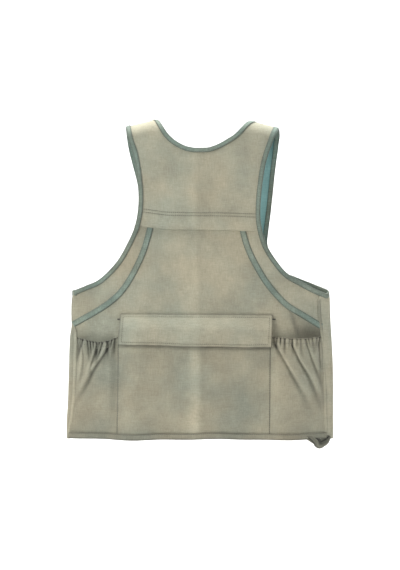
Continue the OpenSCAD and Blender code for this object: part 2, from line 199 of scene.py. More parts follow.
def lengths(line):
    """Length along a line up to each of its points."""
    return np.concatenate([[0], np.cumsum(np.linalg.norm(np.diff(line, axis=0), axis=1))])


def resampled(line, step):
    """The same line with points evenly spaced, about step apart."""
    s = lengths(line)
    at = np.linspace(0, s[-1], max(2, int(round(s[-1] / step)) + 1))
    return np.stack([np.interp(at, s, line[:, i]) for i in range(line.shape[1])], 1)


def normals(line):
    """Unit vectors to the left of a flat line's direction."""
    along = np.gradient(line, axis=0)
    along /= np.linalg.norm(along, axis=1)[:, None]
    return np.stack([-along[:, 1], along[:, 0]], 1)


def wall(x):
    """Distance of the lining from the middle plane: level, then falling off to the
    side seams after a rounded bend."""
    past = (np.abs(x) - WING_START) / WING_BEND
    return HALF_DEPTH - WING_FALL * WING_BEND * np.logaddexp(0, past)


def roll_axis(x):
    """Height of the shoulder roll's axis, which falls towards the shoulder point."""
    return AXIS_K - np.maximum(np.abs(x) - NECK_HALF, -6) * SHOULDER_FALL


def crease_x(z):
    """Distance of the storage crease from the centre line at height z."""
    return -3 + 3 * np.sin(z / 110)


def side_fold_x(z):
    """Distance of the slanting fold at the right side at height z."""
    return 170 + 23 * (-367 - z) / 70


def back_relief(x, z):
    """Stand of the back cloth off its plain wall: a soft ridge down the middle where it
    was folded, and long upright waves that fade out at the neck and the hem."""
    ridge = sizes().crease * np.exp(-(np.hypot(x - crease_x(z), 2.5) - 2.5) / 20)
    low = smooth((-230 - z) / 160)
    waves = 2.4 * np.sin(x / 27 + 0.9 * np.sin(z / 140)) * low
    shoulders = 2.6 * np.sin(x / 38 + z / 90 + 1.0) * smooth((-40 - z) / 60) * (1 - low)
    hem = 1.5 * np.sin(x / 21 + 2) * smooth((-560 - z) / 80)
    fold = 3.2 * hill((x - side_fold_x(z)) / 7) * hill((z + 408) / 34)
    hollow = -5.5 * hill((x - 222) / 26) * hill((z + 424) / 24)
    left_fold = 2.0 * hill((x + 182 - (z + 400) * 0.3) / 9) * hill((z + 415) / 26)
    left_hollow = -3.0 * hill((x + 212) / 24) * hill((z + 430) / 18)
    level = 1 - 0.9 * hill((z - POUCH_HINGE_Z) / 20) * smooth((178 - np.abs(x)) / 12)
    return (ridge + waves + shoulders + hem) * smooth((-34 - z) / 40) * level + (
        fold + hollow + left_fold + left_hollow)


def front_relief(x, z):
    """Stand of the front cloth off its plain wall: shallow upright waves above and
    beside the pockets, none under them or at the zip."""
    pockets = smooth((V_Z - z) / 20) * smooth((172 - np.abs(x)) / 15)
    level = smooth((np.abs(x) - 26) / 20) * (1 - pockets)
    return 1.6 * level * np.sin(x / 24 + 1.2 * np.sin(z / 120)) * smooth((-60 - z) / 120)


def height_at(x, k):
    """Height of the wall row k at distance x: rows are level low down and lean with the
    shoulder near the roll."""
    lean = smooth((k - LEAN_FROM) / (AXIS_K - LEAN_FROM))
    return k + lean * (roll_axis(x) - AXIS_K)


def row_at(x, z):
    """Row that passes through (x, z) on the wall, the reverse of height_at."""
    k = np.array(z, float)
    for _ in range(12):
        k = k + (z - height_at(x, k))
    return k


def place(x, k, d, face):
    """Points at distance x, row k and layer offset d. Rows up to AXIS_K lie on the wall;
    above it they run round a half circle to TOP, the top of the shoulder."""
    x, k, d = np.broadcast_arrays(*(np.asarray(v, float) for v in (x, k, d)))
    z = height_at(x, k)
    relief = back_relief(x, z) if face == BACK else front_relief(x, z)
    turn = np.clip((k - AXIS_K) / ROLL_ARC, 0, 1) * np.pi / 2
    radius = wall(x) + d
    rolled = k > AXIS_K
    y = np.where(rolled, radius * np.cos(turn), radius + relief)
    z = np.where(rolled, roll_axis(x) + radius * np.sin(turn), z)
    return np.stack([x, face * y, z], -1)


def edge(points):
    """Edge line from points given as (distance, height), or (distance, TOP) on the
    shoulder. Returned as (distance, row) points."""
    flat = [(x, z if z > AXIS_K else float(row_at(x, z))) for x, z in points]
    return curve(flat)


def edge_over(back, front):
    """One smooth edge line over the shoulder, as its back part and its front part. The
    front's rows are counted on past TOP while the line is drawn. Both parts end in the
    point where that line crosses TOP, so they meet."""
    def rows(points):
        return np.array([(x, z if z > AXIS_K else float(row_at(x, z))) for x, z in points])
    up, down = rows(back), rows(front)[::-1]
    down[:, 1] = 2 * TOP - down[:, 1]
    line = curve(np.vstack([up, down]), 2.0)
    past = line[:, 1] > TOP
    cross = int(np.argmax(past))
    a, b = line[cross - 1], line[cross]
    peak = a + (b - a) * (TOP - a[1]) / (b[1] - a[1])
    over = np.vstack([peak, line[past]])[::-1]
    over[:, 1] = 2 * TOP - over[:, 1]
    return np.vstack([line[~past], peak]), over


def reach(line, k):
    """Distance from the centre line at which an edge line crosses row k."""
    order = np.argsort(line[:, 1])
    return np.interp(k, line[order, 1], line[order, 0])


# ---------------------------------------------------------------- edge lines of the cut

MID_ROLL = AXIS_K + 20
BACK_ARMHOLE, FRONT_ARMHOLE, BACK_NECK, FRONT_NECK = {}, {}, {}, {}
BACK_ARMHOLE[LEFT], FRONT_ARMHOLE[LEFT] = edge_over(
    [(-254, -345), (-230, -335), (-200, -321), (-166, -287), (-144, -250), (-128, -212),
     (-121.5, -168), (-124, -118), (-132, -72), (-141, -45), (-147, MID_ROLL + 6)],
    [(-254, -344), (-214, -330), (-168, -296), (-138, -254), (-122, -205), (-120, -158),
     (-126, -124), (-135, -89), (-143, -57), (-148, MID_ROLL)])
BACK_ARMHOLE[RIGHT], FRONT_ARMHOLE[RIGHT] = edge_over(
    [(255, -351), (232, -342), (203, -327), (173, -309), (150, -282), (132, -252),
     (121.5, -216), (119, -185), (122, -140), (131, -85), (144, -46), (155, MID_ROLL + 6)],
    [(257, -343), (223, -329), (193, -317), (171, -307), (150, -284), (136, -252),
     (137, -225), (142, -185), (147, -140), (153, -85), (158, -48), (160, MID_ROLL)])
BACK_NECK[LEFT], FRONT_NECK[LEFT] = edge_over(
    [(0, -59), (-14, -58.6), (-32, -54), (-50, -44), (-66, -29), (-79, MID_ROLL), (-87, TOP)],
    [(-12, V_Z), (-31, -186), (-52, -138), (-71, -90), (-84, -45), (-89, MID_ROLL)])
BACK_NECK[RIGHT], FRONT_NECK[RIGHT] = edge_over(
    [(0, -59), (18, -58), (36, -51.5), (55, -41), (72, -29.5), (92, MID_ROLL), (105, TOP)],
    [(12, V_Z), (33, -186), (56, -138), (79, -90), (99, -45), (109, MID_ROLL)])
# Where the back cloth ends at each side, below the armhole
SIDE_SEAM = {
    LEFT: curve([(-254, -345), (-256, -380), (-255, -412), (-250.5, -428), (-251, -470),
                 (-254, -560), (-262, -620), (-266, -642)]),
    RIGHT: curve([(253, -347), (240, -356), (239, -380), (242, -410), (246, -440),
                  (250, -520), (253, -600), (255, -642)]),
}
# The outermost line at each side, where back turns to front
SIDE_EDGE = {
    LEFT: curve([(-257, -350), (-258, -408), (-262, -440), (-264, -500), (-266, -570),
                 (-268, -600), (-268, -642)]),
    RIGHT: curve([(260, -349), (261.5, -362), (263, -408), (266, -458), (268, -520),
                  (268, -642)]),
}
# Curved seams under the tapes, from the armhole under the yoke to the side
BACK_SEAM = {
    LEFT: curve([(-121.5, -150), (-104, -176), (-98, -205), (-101, -224), (-112, -262),
                 (-128, -298), (-147, -331), (-166, -354), (-191, -374), (-219, -391),
                 (-255, -411)]),
    RIGHT: curve([(120.5, -150), (98, -176), (85, -205), (86, -226), (97, -262),
                  (116, -300), (139, -335), (171, -370), (204, -391), (244, -415)]),
}
# Line about which a front swings
SWING = curve([(156, -60), (254, -641)])


def side_reach(table, side, z):
    """Distance of a side's line at height z, by interpolation in height."""
    line = table[side]
    order = np.argsort(line[:, 1])
    return np.interp(z, line[order, 1], line[order, 0])


def swing_reach(side, z):
    """Distance of the swing line at height z."""
    return side * np.interp(z, SWING[::-1, 1], SWING[::-1, 0])


def rows_between(low, high, step, *edges):
    """Row levels about step apart, with closer ones where an edge runs nearly level, so
    that a grid follows the edges closely."""
    parts = [np.arange(low, high, step)]
    for line in edges:
        run = np.abs(np.gradient(line, axis=0))
        shallow = (run[:, 1] < 1.2 * run[:, 0]) & (line[:, 1] > low) & (line[:, 1] < high)
        parts.append(line[shallow, 1])
    levels = low + np.unique(np.round((np.concatenate(parts) - low) / 0.9)) * 0.9
    return np.append(levels[levels < high - 0.5], high)


def back_rows(low, step, *more):
    """Rows shared by both halves of the back, so that they join down the middle."""
    edges = [table[side] for table in (BACK_NECK, BACK_ARMHOLE, *more)
             for side in (LEFT, RIGHT)]
    return rows_between(low, TOP, step, *edges)


# ---------------------------------------------------------------- meshes


def grid_faces(rows, columns):
    """Quads of a grid of points, counted row by row."""
    i = np.arange((rows - 1) * columns).reshape(rows - 1, columns)[:, :-1].ravel()
    return np.stack([i, i + 1, i + columns + 1, i + columns], 1)


def joined(patches):
    """Vertices, faces and tints of several grids as one."""
    points, faces, tints, start = [], [], [], 0
    for p, tint in patches:
        rows, columns = p.shape[:2]
        points.append(p.reshape(-1, 3))
        faces.append(grid_faces(rows, columns) + start)
        tints.append(np.broadcast_to(tint, (rows, columns)).ravel())
        start += rows * columns
    return np.vstack(points), np.vstack(faces), np.concatenate(tints)


def mesh_object(name, points, faces, tint, material, weld=0.02):
    """Object from arrays, in millimetres, with a tint value on each vertex."""
    mesh = bpy.data.meshes.new(name)
    mesh.from_pydata((np.asarray(points) * MM).tolist(), [], np.asarray(faces).tolist())
    attribute = mesh.attributes.new("tint", "FLOAT", "POINT")
    attribute.data.foreach_set("value", np.asarray(tint, np.float32))
    shape = bmesh.new()
    shape.from_mesh(mesh)
    bmesh.ops.remove_doubles(shape, verts=shape.verts, dist=weld * MM)
    bmesh.ops.recalc_face_normals(shape, faces=shape.faces)
    shape.to_mesh(mesh)
    shape.free()
    mesh.shade_smooth()
    mesh.materials.append(material)
    piece = bpy.data.objects.new(name, mesh)
    bpy.context.scene.collection.objects.link(piece)
    return piece


def thicken(piece, thickness, bevel=0.0):
    """Gives a sheet its thickness, half on each side, and rounds the rim."""
    solid = piece.modifiers.new("thickness", "SOLIDIFY")
    solid.thickness = thickness * MM
    solid.offset = 0.0
    if bevel:
        rim = piece.modifiers.new("rim", "BEVEL")
        rim.width = bevel * MM
        rim.segments = 2
        rim.limit_method = "ANGLE"
        rim.angle_limit = np.radians(50)


def sheet_piece(name, patches, material, slot, thickness=None, bevel=0.0):
    """A cloth piece from grids of points."""
    piece = mesh_object(name, *joined(patches), material)
    thicken(piece, thickness or sizes().cloth, bevel)
    return piece


def attach(piece, body, *nodes):
    """The piece rides on a body and stands for these frame nodes."""
    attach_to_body(piece, body)
    if nodes:
        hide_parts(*nodes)
    return piece


def hang_between(piece, side, *nodes):
    """Bakes the piece's placement into its mesh and hides the frame nodes that it stands for."""
    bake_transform(piece)
    if nodes:
        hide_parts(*nodes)
    return piece


def cloth(name, patches, cut, look="canvas", held="hung", rests_on=(), **finish):
    """A sheet of cloth from grids of points. look is "canvas" or "lining"."""
    slot = {"canvas": "canvas", "lining": "teal_lining"}[look]
    piece = sheet_piece(name, patches, MATERIALS[look], slot, **finish)
    return piece


def between(inner, outer, columns):
    """Grid of distances from the inner line to the outer one, row by row."""
    u = np.linspace(0, 1, columns)
    return inner[:, None] + (outer - inner)[:, None] * u


def mouth_hem(x, mouth, d, face, rim, rise, fall, inner, count, floor=-np.inf):
    """Hem of a pocket's mouth: over the rim in a half circle, then down inside as a
    facing that ends fall below the mouth. floor is the nearest it comes to the back."""
    turn = np.linspace(0, np.pi, 6)[1:, None]
    over = place(x + 0 * turn, mouth + rise * np.sin(turn) + 0 * x,
                 np.maximum(d - rim + rim * np.cos(turn), floor), face)
    down = np.linspace(2, fall, count)[:, None]
    facing = place(x + 0 * down, mouth - down + 0 * x,
                   np.maximum(d - inner + 0 * down, floor), face)
    return [over, facing]


# ---------------------------------------------------------------- stitches

# One stitch: two end points and two square rings between them
STITCH_ALONG = np.array([0, .2, .2, .2, .2, .8, .8, .8, .8, 1])
STITCH_ACROSS = np.array([0, -1, 0, 1, 0, -1, 0, 1, 0, 0])
STITCH_UP = np.array([0, 0, 1, 0, -.6, 0, 1, 0, -.6, 0])
STITCH_FACES = [(0, 1, 2), (0, 2, 3), (0, 3, 4), (0, 4, 1), (9, 6, 5), (9, 7, 6), (9, 8, 7),
                (9, 5, 8), (1, 5, 6, 2), (2, 6, 7, 3), (3, 7, 8, 4), (4, 8, 5, 1)]


def stitches(name, lines, surface, material=None):
    """Rows of separate stitches along flat lines. Each is a thin bead, pointed at both
    ends. surface(x, row, lift) gives the point in space."""
    s = sizes()
    points = []
    for line in lines:
        total = lengths(line)[-1]
        starts = np.arange(0.5, total - s.stitch, s.stitch + s.stitch_gap)
        at = starts[:, None] + s.stitch * STITCH_ALONG
        run = lengths(line)
        side = normals(line)
        x = np.interp(at, run, line[:, 0])
        k = np.interp(at, run, line[:, 1])
        across = 0.5 * s.thread * STITCH_ACROSS
        x = x + np.interp(at, run, side[:, 0]) * across
        k = k + np.interp(at, run, side[:, 1]) * across
        points.append(surface(x, k, 0.45 * s.thread * STITCH_UP + 0 * x).reshape(-1, 3))
    points = np.vstack(points)
    count = len(points) // len(STITCH_ALONG)
    faces = []
    for corner in (3, 4):
        one = np.array([f for f in STITCH_FACES if len(f) == corner])
        step = np.arange(count)[:, None, None] * len(STITCH_ALONG)
        faces += (one + step).reshape(-1, corner).tolist()
    mesh = bpy.data.meshes.new(name)
    mesh.from_pydata((points * MM).tolist(), [], faces)
    mesh.shade_smooth()
    mesh.materials.append(material or MATERIALS["thread"])
    piece = bpy.data.objects.new(name, mesh)
    bpy.context.scene.collection.objects.link(piece)
    return piece


def sew(name, lines, surface_d, face, body, material=None, *nodes):
    """Rows of stitches that ride on a body. surface_d(x, row) gives the layer offset at
    which the threads lie."""
    thread = stitches(name, lines,
                      lambda x, k, lift: place(x, k, surface_d(x, k) + lift, face), material)
    return attach(thread, body, *nodes)


def inset_line(line, distance):
    """A flat line moved to its left by a distance."""
    return line + normals(line) * distance


# ---------------------------------------------------------------- materials

MATERIALS = {}


def node_maker(material):
    """Returns the material's node tree and add(kind, inputs, settings), which makes one
    node. An input is a value, or a socket to link."""
    material.use_nodes = True
    tree = material.node_tree

    def add(kind, inputs=None, **settings):
        node = tree.nodes.new(kind)
        for key, value in settings.items():
            setattr(node, key, value)
        for key, value in (inputs or {}).items():
            if isinstance(value, bpy.types.NodeSocket):
                tree.links.new(value, node.inputs[key])
            else:
                node.inputs[key].default_value = value
        return node

    return tree, add


def mixed(add, factor, a, b, blend="MIX"):
    """Colour mix of two sockets or colours."""
    node = add("ShaderNodeMix", data_type="RGBA", blend_type=blend)
    for index, value in ((0, factor), (6, a), (7, b)):
        socket = node.inputs[index]
        if isinstance(value, bpy.types.NodeSocket):
            node.id_data.links.new(value, socket)
        else:
            socket.default_value = value
    return node.outputs[2]


def noise(add, vector, scale, detail=2.0, roughness=0.5):
    """Cloudy noise at the points of vector."""
    return add("ShaderNodeTexNoise", {"Vector": vector, "Scale": scale, "Detail": detail,
                                      "Roughness": roughness}).outputs["Fac"]


def spread(add, value, low, high, to_low=0.0, to_high=1.0):
    """The value's range from low to high, stretched to another and cut off outside."""
    return add("ShaderNodeMapRange", {"Value": value, "From Min": low, "From Max": high,
                                      "To Min": to_low, "To Max": to_high}).outputs["Result"]


def maths(add, operation, *values):
    """Result of one arithmetic step on sockets or numbers."""
    return add("ShaderNodeMath", dict(enumerate(values)), operation=operation).outputs[0]


def rgba(colour, gain=1.0):
    """Colour with a gain, held below 1, as red, green, blue and alpha."""
    return tuple(min(1.0, c * gain) for c in colour) + (1.0,)


def cloth_material(name, warm, cool, weave=1500.0, bump=0.25, mottle=0.5, roughness=0.92):
    """Woven cloth: two tints in large soft patches, slubs along both thread directions, small
    specks, and the plain weave as fine bumps. The tint attribute paints shade into folds,
    hollows, gaps and along edges, and paints highlight onto ridges, besides some broad darker and
    lighter areas."""
    material = bpy.data.materials.new(name)
    tree, add = node_maker(material)
    shader = tree.nodes["Principled BSDF"]
    spot = add("ShaderNodeTexCoord").outputs["Object"]
    patches = spread(add, noise(add, spot, 8.0, 3.0, 0.55), 0.36, 0.64)
    base = mixed(add, patches, rgba(warm), rgba(cool))
    slubs = []
    for stretch in ((70, 70, 1100), (1100, 1100, 70)):
        drawn_out = add("ShaderNodeMapping", {"Vector": spot, "Scale": stretch})
        slubs.append(noise(add, drawn_out.outputs["Vector"], 1.0))
    threads = spread(add, maths(add, "ADD", *slubs), 0.75, 1.25,
                     1 - 0.22 * mottle, 1 + 0.22 * mottle)
    grain = spread(add, noise(add, spot, 420.0, 4.0, 0.7), 0.3, 0.7,
                   1 - 0.16 * mottle, 1 + 0.16 * mottle)
    broad = spread(add, noise(add, spot, 21.0, 4.0, 0.6), 0.3, 0.7,
                   1 - 0.26 * mottle, 1 + 0.20 * mottle)
    shade = maths(add, "MULTIPLY", threads, maths(add, "MULTIPLY", broad, grain))
    # The tint attribute carries painted shade and painted highlight into the colour
    tint = add("ShaderNodeAttribute", attribute_name="tint").outputs["Fac"]
    shade = maths(add, "MULTIPLY", shade, maths(add, "ADD", tint, 1.0))
    scaled = add("ShaderNodeVectorMath", {0: base, "Scale": shade}, operation="SCALE")
    tree.links.new(scaled.outputs["Vector"], shader.inputs["Base Color"])
    parts = add("ShaderNodeSeparateXYZ", {"Vector": spot})
    waves = [maths(add, "SINE", maths(add, "MULTIPLY", parts.outputs[axis], 2 * np.pi * weave))
             for axis in ("X", "Z")]
    rough = maths(add, "MULTIPLY", maths(add, "MULTIPLY", *waves), 0.5)
    height = maths(add, "ADD", rough, threads)
    relief = add("ShaderNodeBump", {"Strength": bump, "Distance": 0.0006, "Height": height})
    tree.links.new(relief.outputs["Normal"], shader.inputs["Normal"])
    shader.inputs["Roughness"].default_value = roughness
    shader.inputs["Specular IOR Level"].default_value = 0.25
    shader.inputs["Sheen Weight"].default_value = 0.15
    shader.inputs["Sheen Roughness"].default_value = 0.6
    return material


def metal_material(name, colour, roughness=0.38):
    """Aged brass: darker, rougher patches over a satin metal, with fine scratches."""
    material = bpy.data.materials.new(name)
    tree, add = node_maker(material)
    shader = tree.nodes["Principled BSDF"]
    spot = add("ShaderNodeTexCoord").outputs["Object"]
    stain = spread(add, noise(add, spot, 260.0, 6.0, 0.65), 0.42, 0.62)
    tone = mixed(add, stain, rgba(colour, 1.25), rgba(colour, 0.5))
    tree.links.new(tone, shader.inputs["Base Color"])
    gloss = spread(add, stain, 0, 1, roughness, roughness + 0.3)
    tree.links.new(gloss, shader.inputs["Roughness"])
    scratch = add("ShaderNodeMapping", {"Vector": spot, "Scale": (4000, 300, 300)})
    lines = noise(add, scratch.outputs["Vector"], 1.0)
    relief = add("ShaderNodeBump", {"Strength": 0.15, "Distance": 0.0002, "Height": lines})
    tree.links.new(relief.outputs["Normal"], shader.inputs["Normal"])
    shader.inputs["Metallic"].default_value = 0.9
    return material


def thread_material(name, colour):
    """Twisted thread: fine diagonal bands of light and dark."""
    material = bpy.data.materials.new(name)
    tree, add = node_maker(material)
    shader = tree.nodes["Principled BSDF"]
    spot = add("ShaderNodeTexCoord").outputs["Object"]
    twist = add("ShaderNodeTexWave", {"Vector": spot, "Scale": 420.0, "Distortion": 2.0},
                bands_direction="DIAGONAL").outputs["Fac"]
    tone = mixed(add, twist, rgba(colour, 0.75), rgba(colour, 1.25))
    tree.links.new(tone, shader.inputs["Base Color"])
    shader.inputs["Roughness"].default_value = 0.7
    shader.inputs["Sheen Weight"].default_value = 0.3
    return material


class VEST_OT_materials(bpy.types.Operator):
    """Make the cloths, the thread and the metals"""

    bl_idname = "vest.materials"
    bl_label = "Materials"

    def execute(self, context):
        c = colours()
        MATERIALS["canvas"] = cloth_material("vest_canvas", c.canvas_warm, c.canvas_green)
        MATERIALS["lining"] = cloth_material(
            "vest_lining", c.lining, [v * 0.85 for v in c.lining], weave=1900, mottle=0.35)
        MATERIALS["tape"] = cloth_material(
            "vest_tape", c.tape, [c.tape[0] * 0.85, c.tape[1] * 0.98, c.tape[2] * 1.05],
            weave=2200, bump=0.3, mottle=0.8)
        MATERIALS["hem"] = cloth_material(
            "vest_hem", [v * 0.82 for v in c.canvas_warm], [v * 0.8 for v in c.canvas_green])
        MATERIALS["elastic"] = cloth_material(
            "vest_elastic", (0.12, 0.12, 0.11), (0.09, 0.09, 0.085), weave=900, bump=0.6)
        MATERIALS["zip_tape"] = cloth_material(
            "vest_zip_tape", c.tape, [v * 0.85 for v in c.tape], weave=1100, bump=0.5)
        MATERIALS["thread"] = thread_material("vest_thread", c.thread)
        MATERIALS["tack"] = thread_material("vest_tack_thread", (0.05, 0.05, 0.04))
        MATERIALS["metal"] = metal_material("vest_brass", c.metal)
        MATERIALS["snap"] = metal_material("vest_snap_brass", c.metal, roughness=0.3)
        return {"FINISHED"}


# ---------------------------------------------------------------- back


def side_of_back(side, k):
    """Outer end of the back panel on each row: the armhole down to the curved seam, the
    seam, and then the side seam. The seam's allowance lies under the tape."""
    arm = reach(BACK_ARMHOLE[side], k)
    seam = side_reach(BACK_SEAM, side, k)
    low = side_reach(SIDE_SEAM, side, k)
    seam_top = BACK_SEAM[side][0, 1]
    seam_foot = BACK_SEAM[side][-1, 1]
    return np.where(k > seam_top, arm, np.where(k > seam_foot, seam, low))


def neck_of_back(side, k):
    """Inner end of each half on a row: the centre line, or the neckline above it."""
    return np.where(k > BACK_NECK[side][0, 1], reach(BACK_NECK[side], k), 0.0)


def back_tint(x, z):
    """Painted light and shade on the back: at the crease, a painted highlight on its lit left
    side and painted shade on its right, with the whole left half a little lighter and the right
    half a little darker; a painted highlight band down the pouch's crease and fainter painted
    highlight bands beside it; cloth darker low down and towards both sides; and painted shade in
    the hollows and along the slanting fold over the side pockets."""
    middle = crease_x(z)
    line = -0.03 * hill((x - middle - 5) / 6.0) + 0.04 * hill((x - middle + 9) / 8)
    halves = 0.03 * np.tanh((middle - x) / 10)
    low = smooth((-440 - z) / 40)
    bands = (0.21 * hill((x + 12) / 13) + 0.05 * hill((x - 118) / 20)
             + 0.09 * hill((x - 85) / 34) * hill((z + 490) / 60))
    low_cloth = low * (bands - 0.14 + 0.05 * smooth(x / 30))
    sides = 0.05 * smooth((np.abs(x) - 120) / 60)
    right_hollow = 0.50 * smooth((x - 165) / 50) * hill((z + 432) / 20)
    left_hollow = 0.22 * smooth((-160 - x) / 20) * hill((z + 438) / 12)
    fold = 0.35 * hill((x - side_fold_x(z) - 5) / 5) * hill((z + 408) / 26)
    return line + halves + low_cloth - sides - right_hollow - left_hollow - fold


class VEST_OT_back(bpy.types.Operator):
    """Back panel, from the shoulders to the hem"""

    bl_idname = "vest.back"
    bl_label = "Back panel"

    def execute(self, context):
        patches = []
        for side, _ in SIDES:
            k = back_rows(HEM_Z + 2, 4.0, BACK_SEAM)
            x = between(neck_of_back(side, k), side_of_back(side, k), 56)
            points = place(x, k[:, None], SHELL_D, BACK)
            patches.append((points, back_tint(x, points[..., 2])))
        attach(cloth("back_panel_cloth", patches, "back_panel"), "vest_body", "back_panel")
        return {"FINISHED"}


def yoke_stand(x, z):
    """The yoke stands off the panel under it more and more towards its free edge, but is
    held down by the bindings."""
    return YOKE_D - 0.3 + 1.9 * hill((z - YOKE_Z) / 16) * smooth((118 - np.abs(x)) / 16)


def yoke_foot(x):
    """Height of the yoke's free edge, a little lower to the right and slightly waved."""
    return YOKE_Z + 1 - 0.024 * x + 0.6 * np.sin(x / 30) + 3.2 * smooth((-60 - x) / 60)


class VEST_OT_yoke(bpy.types.Operator):
    """Yoke over both shoulders with a folded free edge, and its two rows of stitches"""

    bl_idname = "vest.yoke"
    bl_label = "Yoke"

    def execute(self, context):
        hem_depth = 29.0
        fold = 0.8
        patches = []
        for side, _ in SIDES:
            k = back_rows(YOKE_Z + 8, 1.6)
            u = np.linspace(0, 1, 52)
            x = between(neck_of_back(side, k), reach(BACK_ARMHOLE[side], k) - side * 0.6, 52)
            z = height_at(x, np.broadcast_to(k[:, None], x.shape))
            # Painted shade along the two stitch rows, where the cloth is drawn in
            sewn = sum(hill((z - yoke_foot(x) - rise) / 1.2) for rise in YOKE_ROWS)
            patches.append((place(x, k[:, None], yoke_stand(x, z) - 0.3 * sewn, BACK),
                            back_tint(x, z) - 0.16 * sewn))
            foot_x = reach(BACK_ARMHOLE[side], np.array([YOKE_Z]))[0] * u
            first = x[0]
            foot = yoke_foot(foot_x)
            # Down to the edge, round it and up inside as the hem's facing
            drop = np.linspace(0, 1, 7)[1:]
            down = YOKE_Z + 8 + (foot + fold - YOKE_Z - 8) * drop[:, None]
            down_x = first + (foot_x - first) * drop[:, None]
            turn = np.linspace(0, np.pi, 7)[1:, None]
            round_z = foot + fold - fold * np.sin(turn)
            round_d = fold * (np.cos(turn) - 1)
            up = foot + fold + hem_depth * np.linspace(0, 1, 8)[1:, None]
            z_all = np.vstack([np.full((1, 52), YOKE_Z + 8), down, round_z + 0 * foot_x, up])
            facing_x = u * (reach(BACK_ARMHOLE[side], up[:, :1]) - side * 2.5)
            x_all = np.vstack([first[None], down_x, np.tile(foot_x, (6, 1)), facing_x])
            d_all = yoke_stand(x_all, z_all) + np.vstack([np.zeros((7, 52)), round_d + 0 * foot_x,
                                                   np.full((7, 52), -2 * fold)])
            patches.append((place(x_all, z_all, d_all, BACK), -0.03 + 0 * z_all))
            lap = rows_between(AXIS_K - 22, TOP, 3.5)
            x = between(reach(FRONT_NECK[side], lap), reach(FRONT_ARMHOLE[side], lap), 26)
            patches.append((place(x, lap[:, None], YOKE_D, FRONT), 0.0))
        piece = cloth("yoke_cloth", patches, "yoke", rests_on=["back_panel_cloth"])
        attach(piece, "vest_body", "back_yoke")
        rows = []
        for rise in YOKE_ROWS:
            x = np.linspace(-113, 111, 80)
            rows.append(np.stack([x, yoke_foot(x) + rise + 1.5 * smooth((-60 - x) / 60)], 1))
        sew("yoke_stitches", rows, lambda x, k: yoke_stand(x, k) + 0.42, BACK, "vest_body")
        return {"FINISHED"}


class VEST_OT_underarms(bpy.types.Operator):
    """Underarm panels of the back and the tapes over the curved seams"""

    bl_idname = "vest.underarms"
    bl_label = "Underarm panels"

    def execute(self, context):
        for side, name in SIDES:
            seam = BACK_SEAM[side]
            k = rows_between(seam[-1, 1] + 1, seam[0, 1] - 1, 4.0, BACK_ARMHOLE[side], seam)
            outer = np.where(k > BACK_ARMHOLE[side][0, 1], reach(BACK_ARMHOLE[side], k),
                             side_reach(SIDE_SEAM, side, k))
            x = between(side_reach(BACK_SEAM, side, k), outer, 34)
            points = place(x, k[:, None], SHELL_D, BACK)
            tint = -0.05 if side == LEFT else 0.08
            piece = cloth(f"underarm_cloth_{name}", [(points, tint)], "underarm")
            attach(piece, "vest_body", f"underarm_panel_{name}")
            self.tape(side, name)
        return {"FINISHED"}

    def tape(self, side, name):
        """Flat tape centred on the seam: rounded across, with both edges turned under."""
        half = sizes().seam_tape / 2
        seam = BACK_SEAM[side]
        line = resampled(seam[seam[:, 1] < YOKE_Z + 14], 3.0)
        w = np.linspace(-1, 1, 9)
        across = normals(line)[:, None, :] * (w * half)[None, :, None]
        flat = line[:, None, :] + across
        crown = TAPE_D + 0.5 * (1 - w**6)
        points = place(flat[..., 0], flat[..., 1], crown[None, :], BACK)
        # Painted shade along both turned-under edges of the tape; its middle is painted lighter
        upper = w * side
        tint = 0.22 - 0.62 * hill((upper + 0.98) / 0.2) - 0.34 * hill((upper - 0.98) / 0.25)
        piece = sheet_piece(f"seam_tape_cloth_{name}", [(points, tint[None, :])],
                            MATERIALS["tape"], "binding_tape", thickness=FLAT_TAPE)
        attach(piece, "vest_body", f"seam_tape_{name}")
        rows = [inset_line(line, shift) for shift in (-half + 1.6, half - 1.6)]
        sew(f"seam_tape_stitches_{name}", rows, lambda x, k: TAPE_D + 0.9, BACK, "vest_body")


# ---------------------------------------------------------------- bindings


def binding_points(line, face, width, outer_d, inner_d, inward):
    """Folded tape along an edge: across it, the outer leaf runs to the edge, rounds it
    and comes back as the inner leaf. inward is +1 if the cloth is to the line's left."""
    middle = (outer_d + inner_d) / 2
    half = (outer_d - inner_d) / 2
    leaf = np.linspace(1, 0, 7)
    turn = np.linspace(0, np.pi, 9)[1:-1]
    inset = np.concatenate([leaf * width, -1.4 * np.sin(turn), leaf[::-1] * width])
    swell = 0.45 * np.sin(np.pi * leaf) ** 0.7
    lay = np.concatenate([np.ones(7), np.cos(turn), -np.ones(7)])
    puff = np.concatenate([swell, 0 * turn, -swell[::-1]])
    flat = line[:, None, :] + normals(line)[:, None, :] * (inset * inward)[None, :, None]
    d = middle[:, None] + half[:, None] * lay[None, :] + puff[None, :]
    return place(flat[..., 0], flat[..., 1], d, face), inset


def binding_shade(inset, width):
    """Painted shade on the tape: darker in the fold at its inner edge and along the rounded rim,
    a little lighter between.
    """
    return 0.06 - 0.45 * hill((inset - width) / 1.2) - 0.40 * hill((inset + 0.6) / 1.5)


def binding_stack(k, face):
    """Outer and inner offsets of the binding: it wraps the yoke too, where that is."""
    top_of_yoke = YOKE_Z if face == BACK else AXIS_K - 22
    over_yoke = smooth((k - top_of_yoke + 4) / 8)
    return 3.0 + 1.3 * over_yoke, np.full_like(k, -0.9)


def make_binding(name, line, face, inward, fasten, *nodes):
    """Binding piece and its stitches on one edge line. fasten(piece, ...) either attaches each to
    the body or bakes it in place, and the piece stands for the frame nodes."""
    width = sizes().binding
    outer, inner = binding_stack(line[:, 1], face)
    points, inset = binding_points(line, face, width, outer, inner, inward)
    piece = sheet_piece(name, [(points, binding_shade(inset, width)[None, :])],
                        MATERIALS["tape"], "binding_tape", thickness=LIGHT_CLOTH)
    fasten(piece, *nodes)
    row = inset_line(line, inward * (width - 1.7))
    fasten(stitches(f"{name}_stitches_0", [row], lambda x, k, lift: place(
        x, k, binding_stack(k, face)[0] + 0.62 + lift, face)))


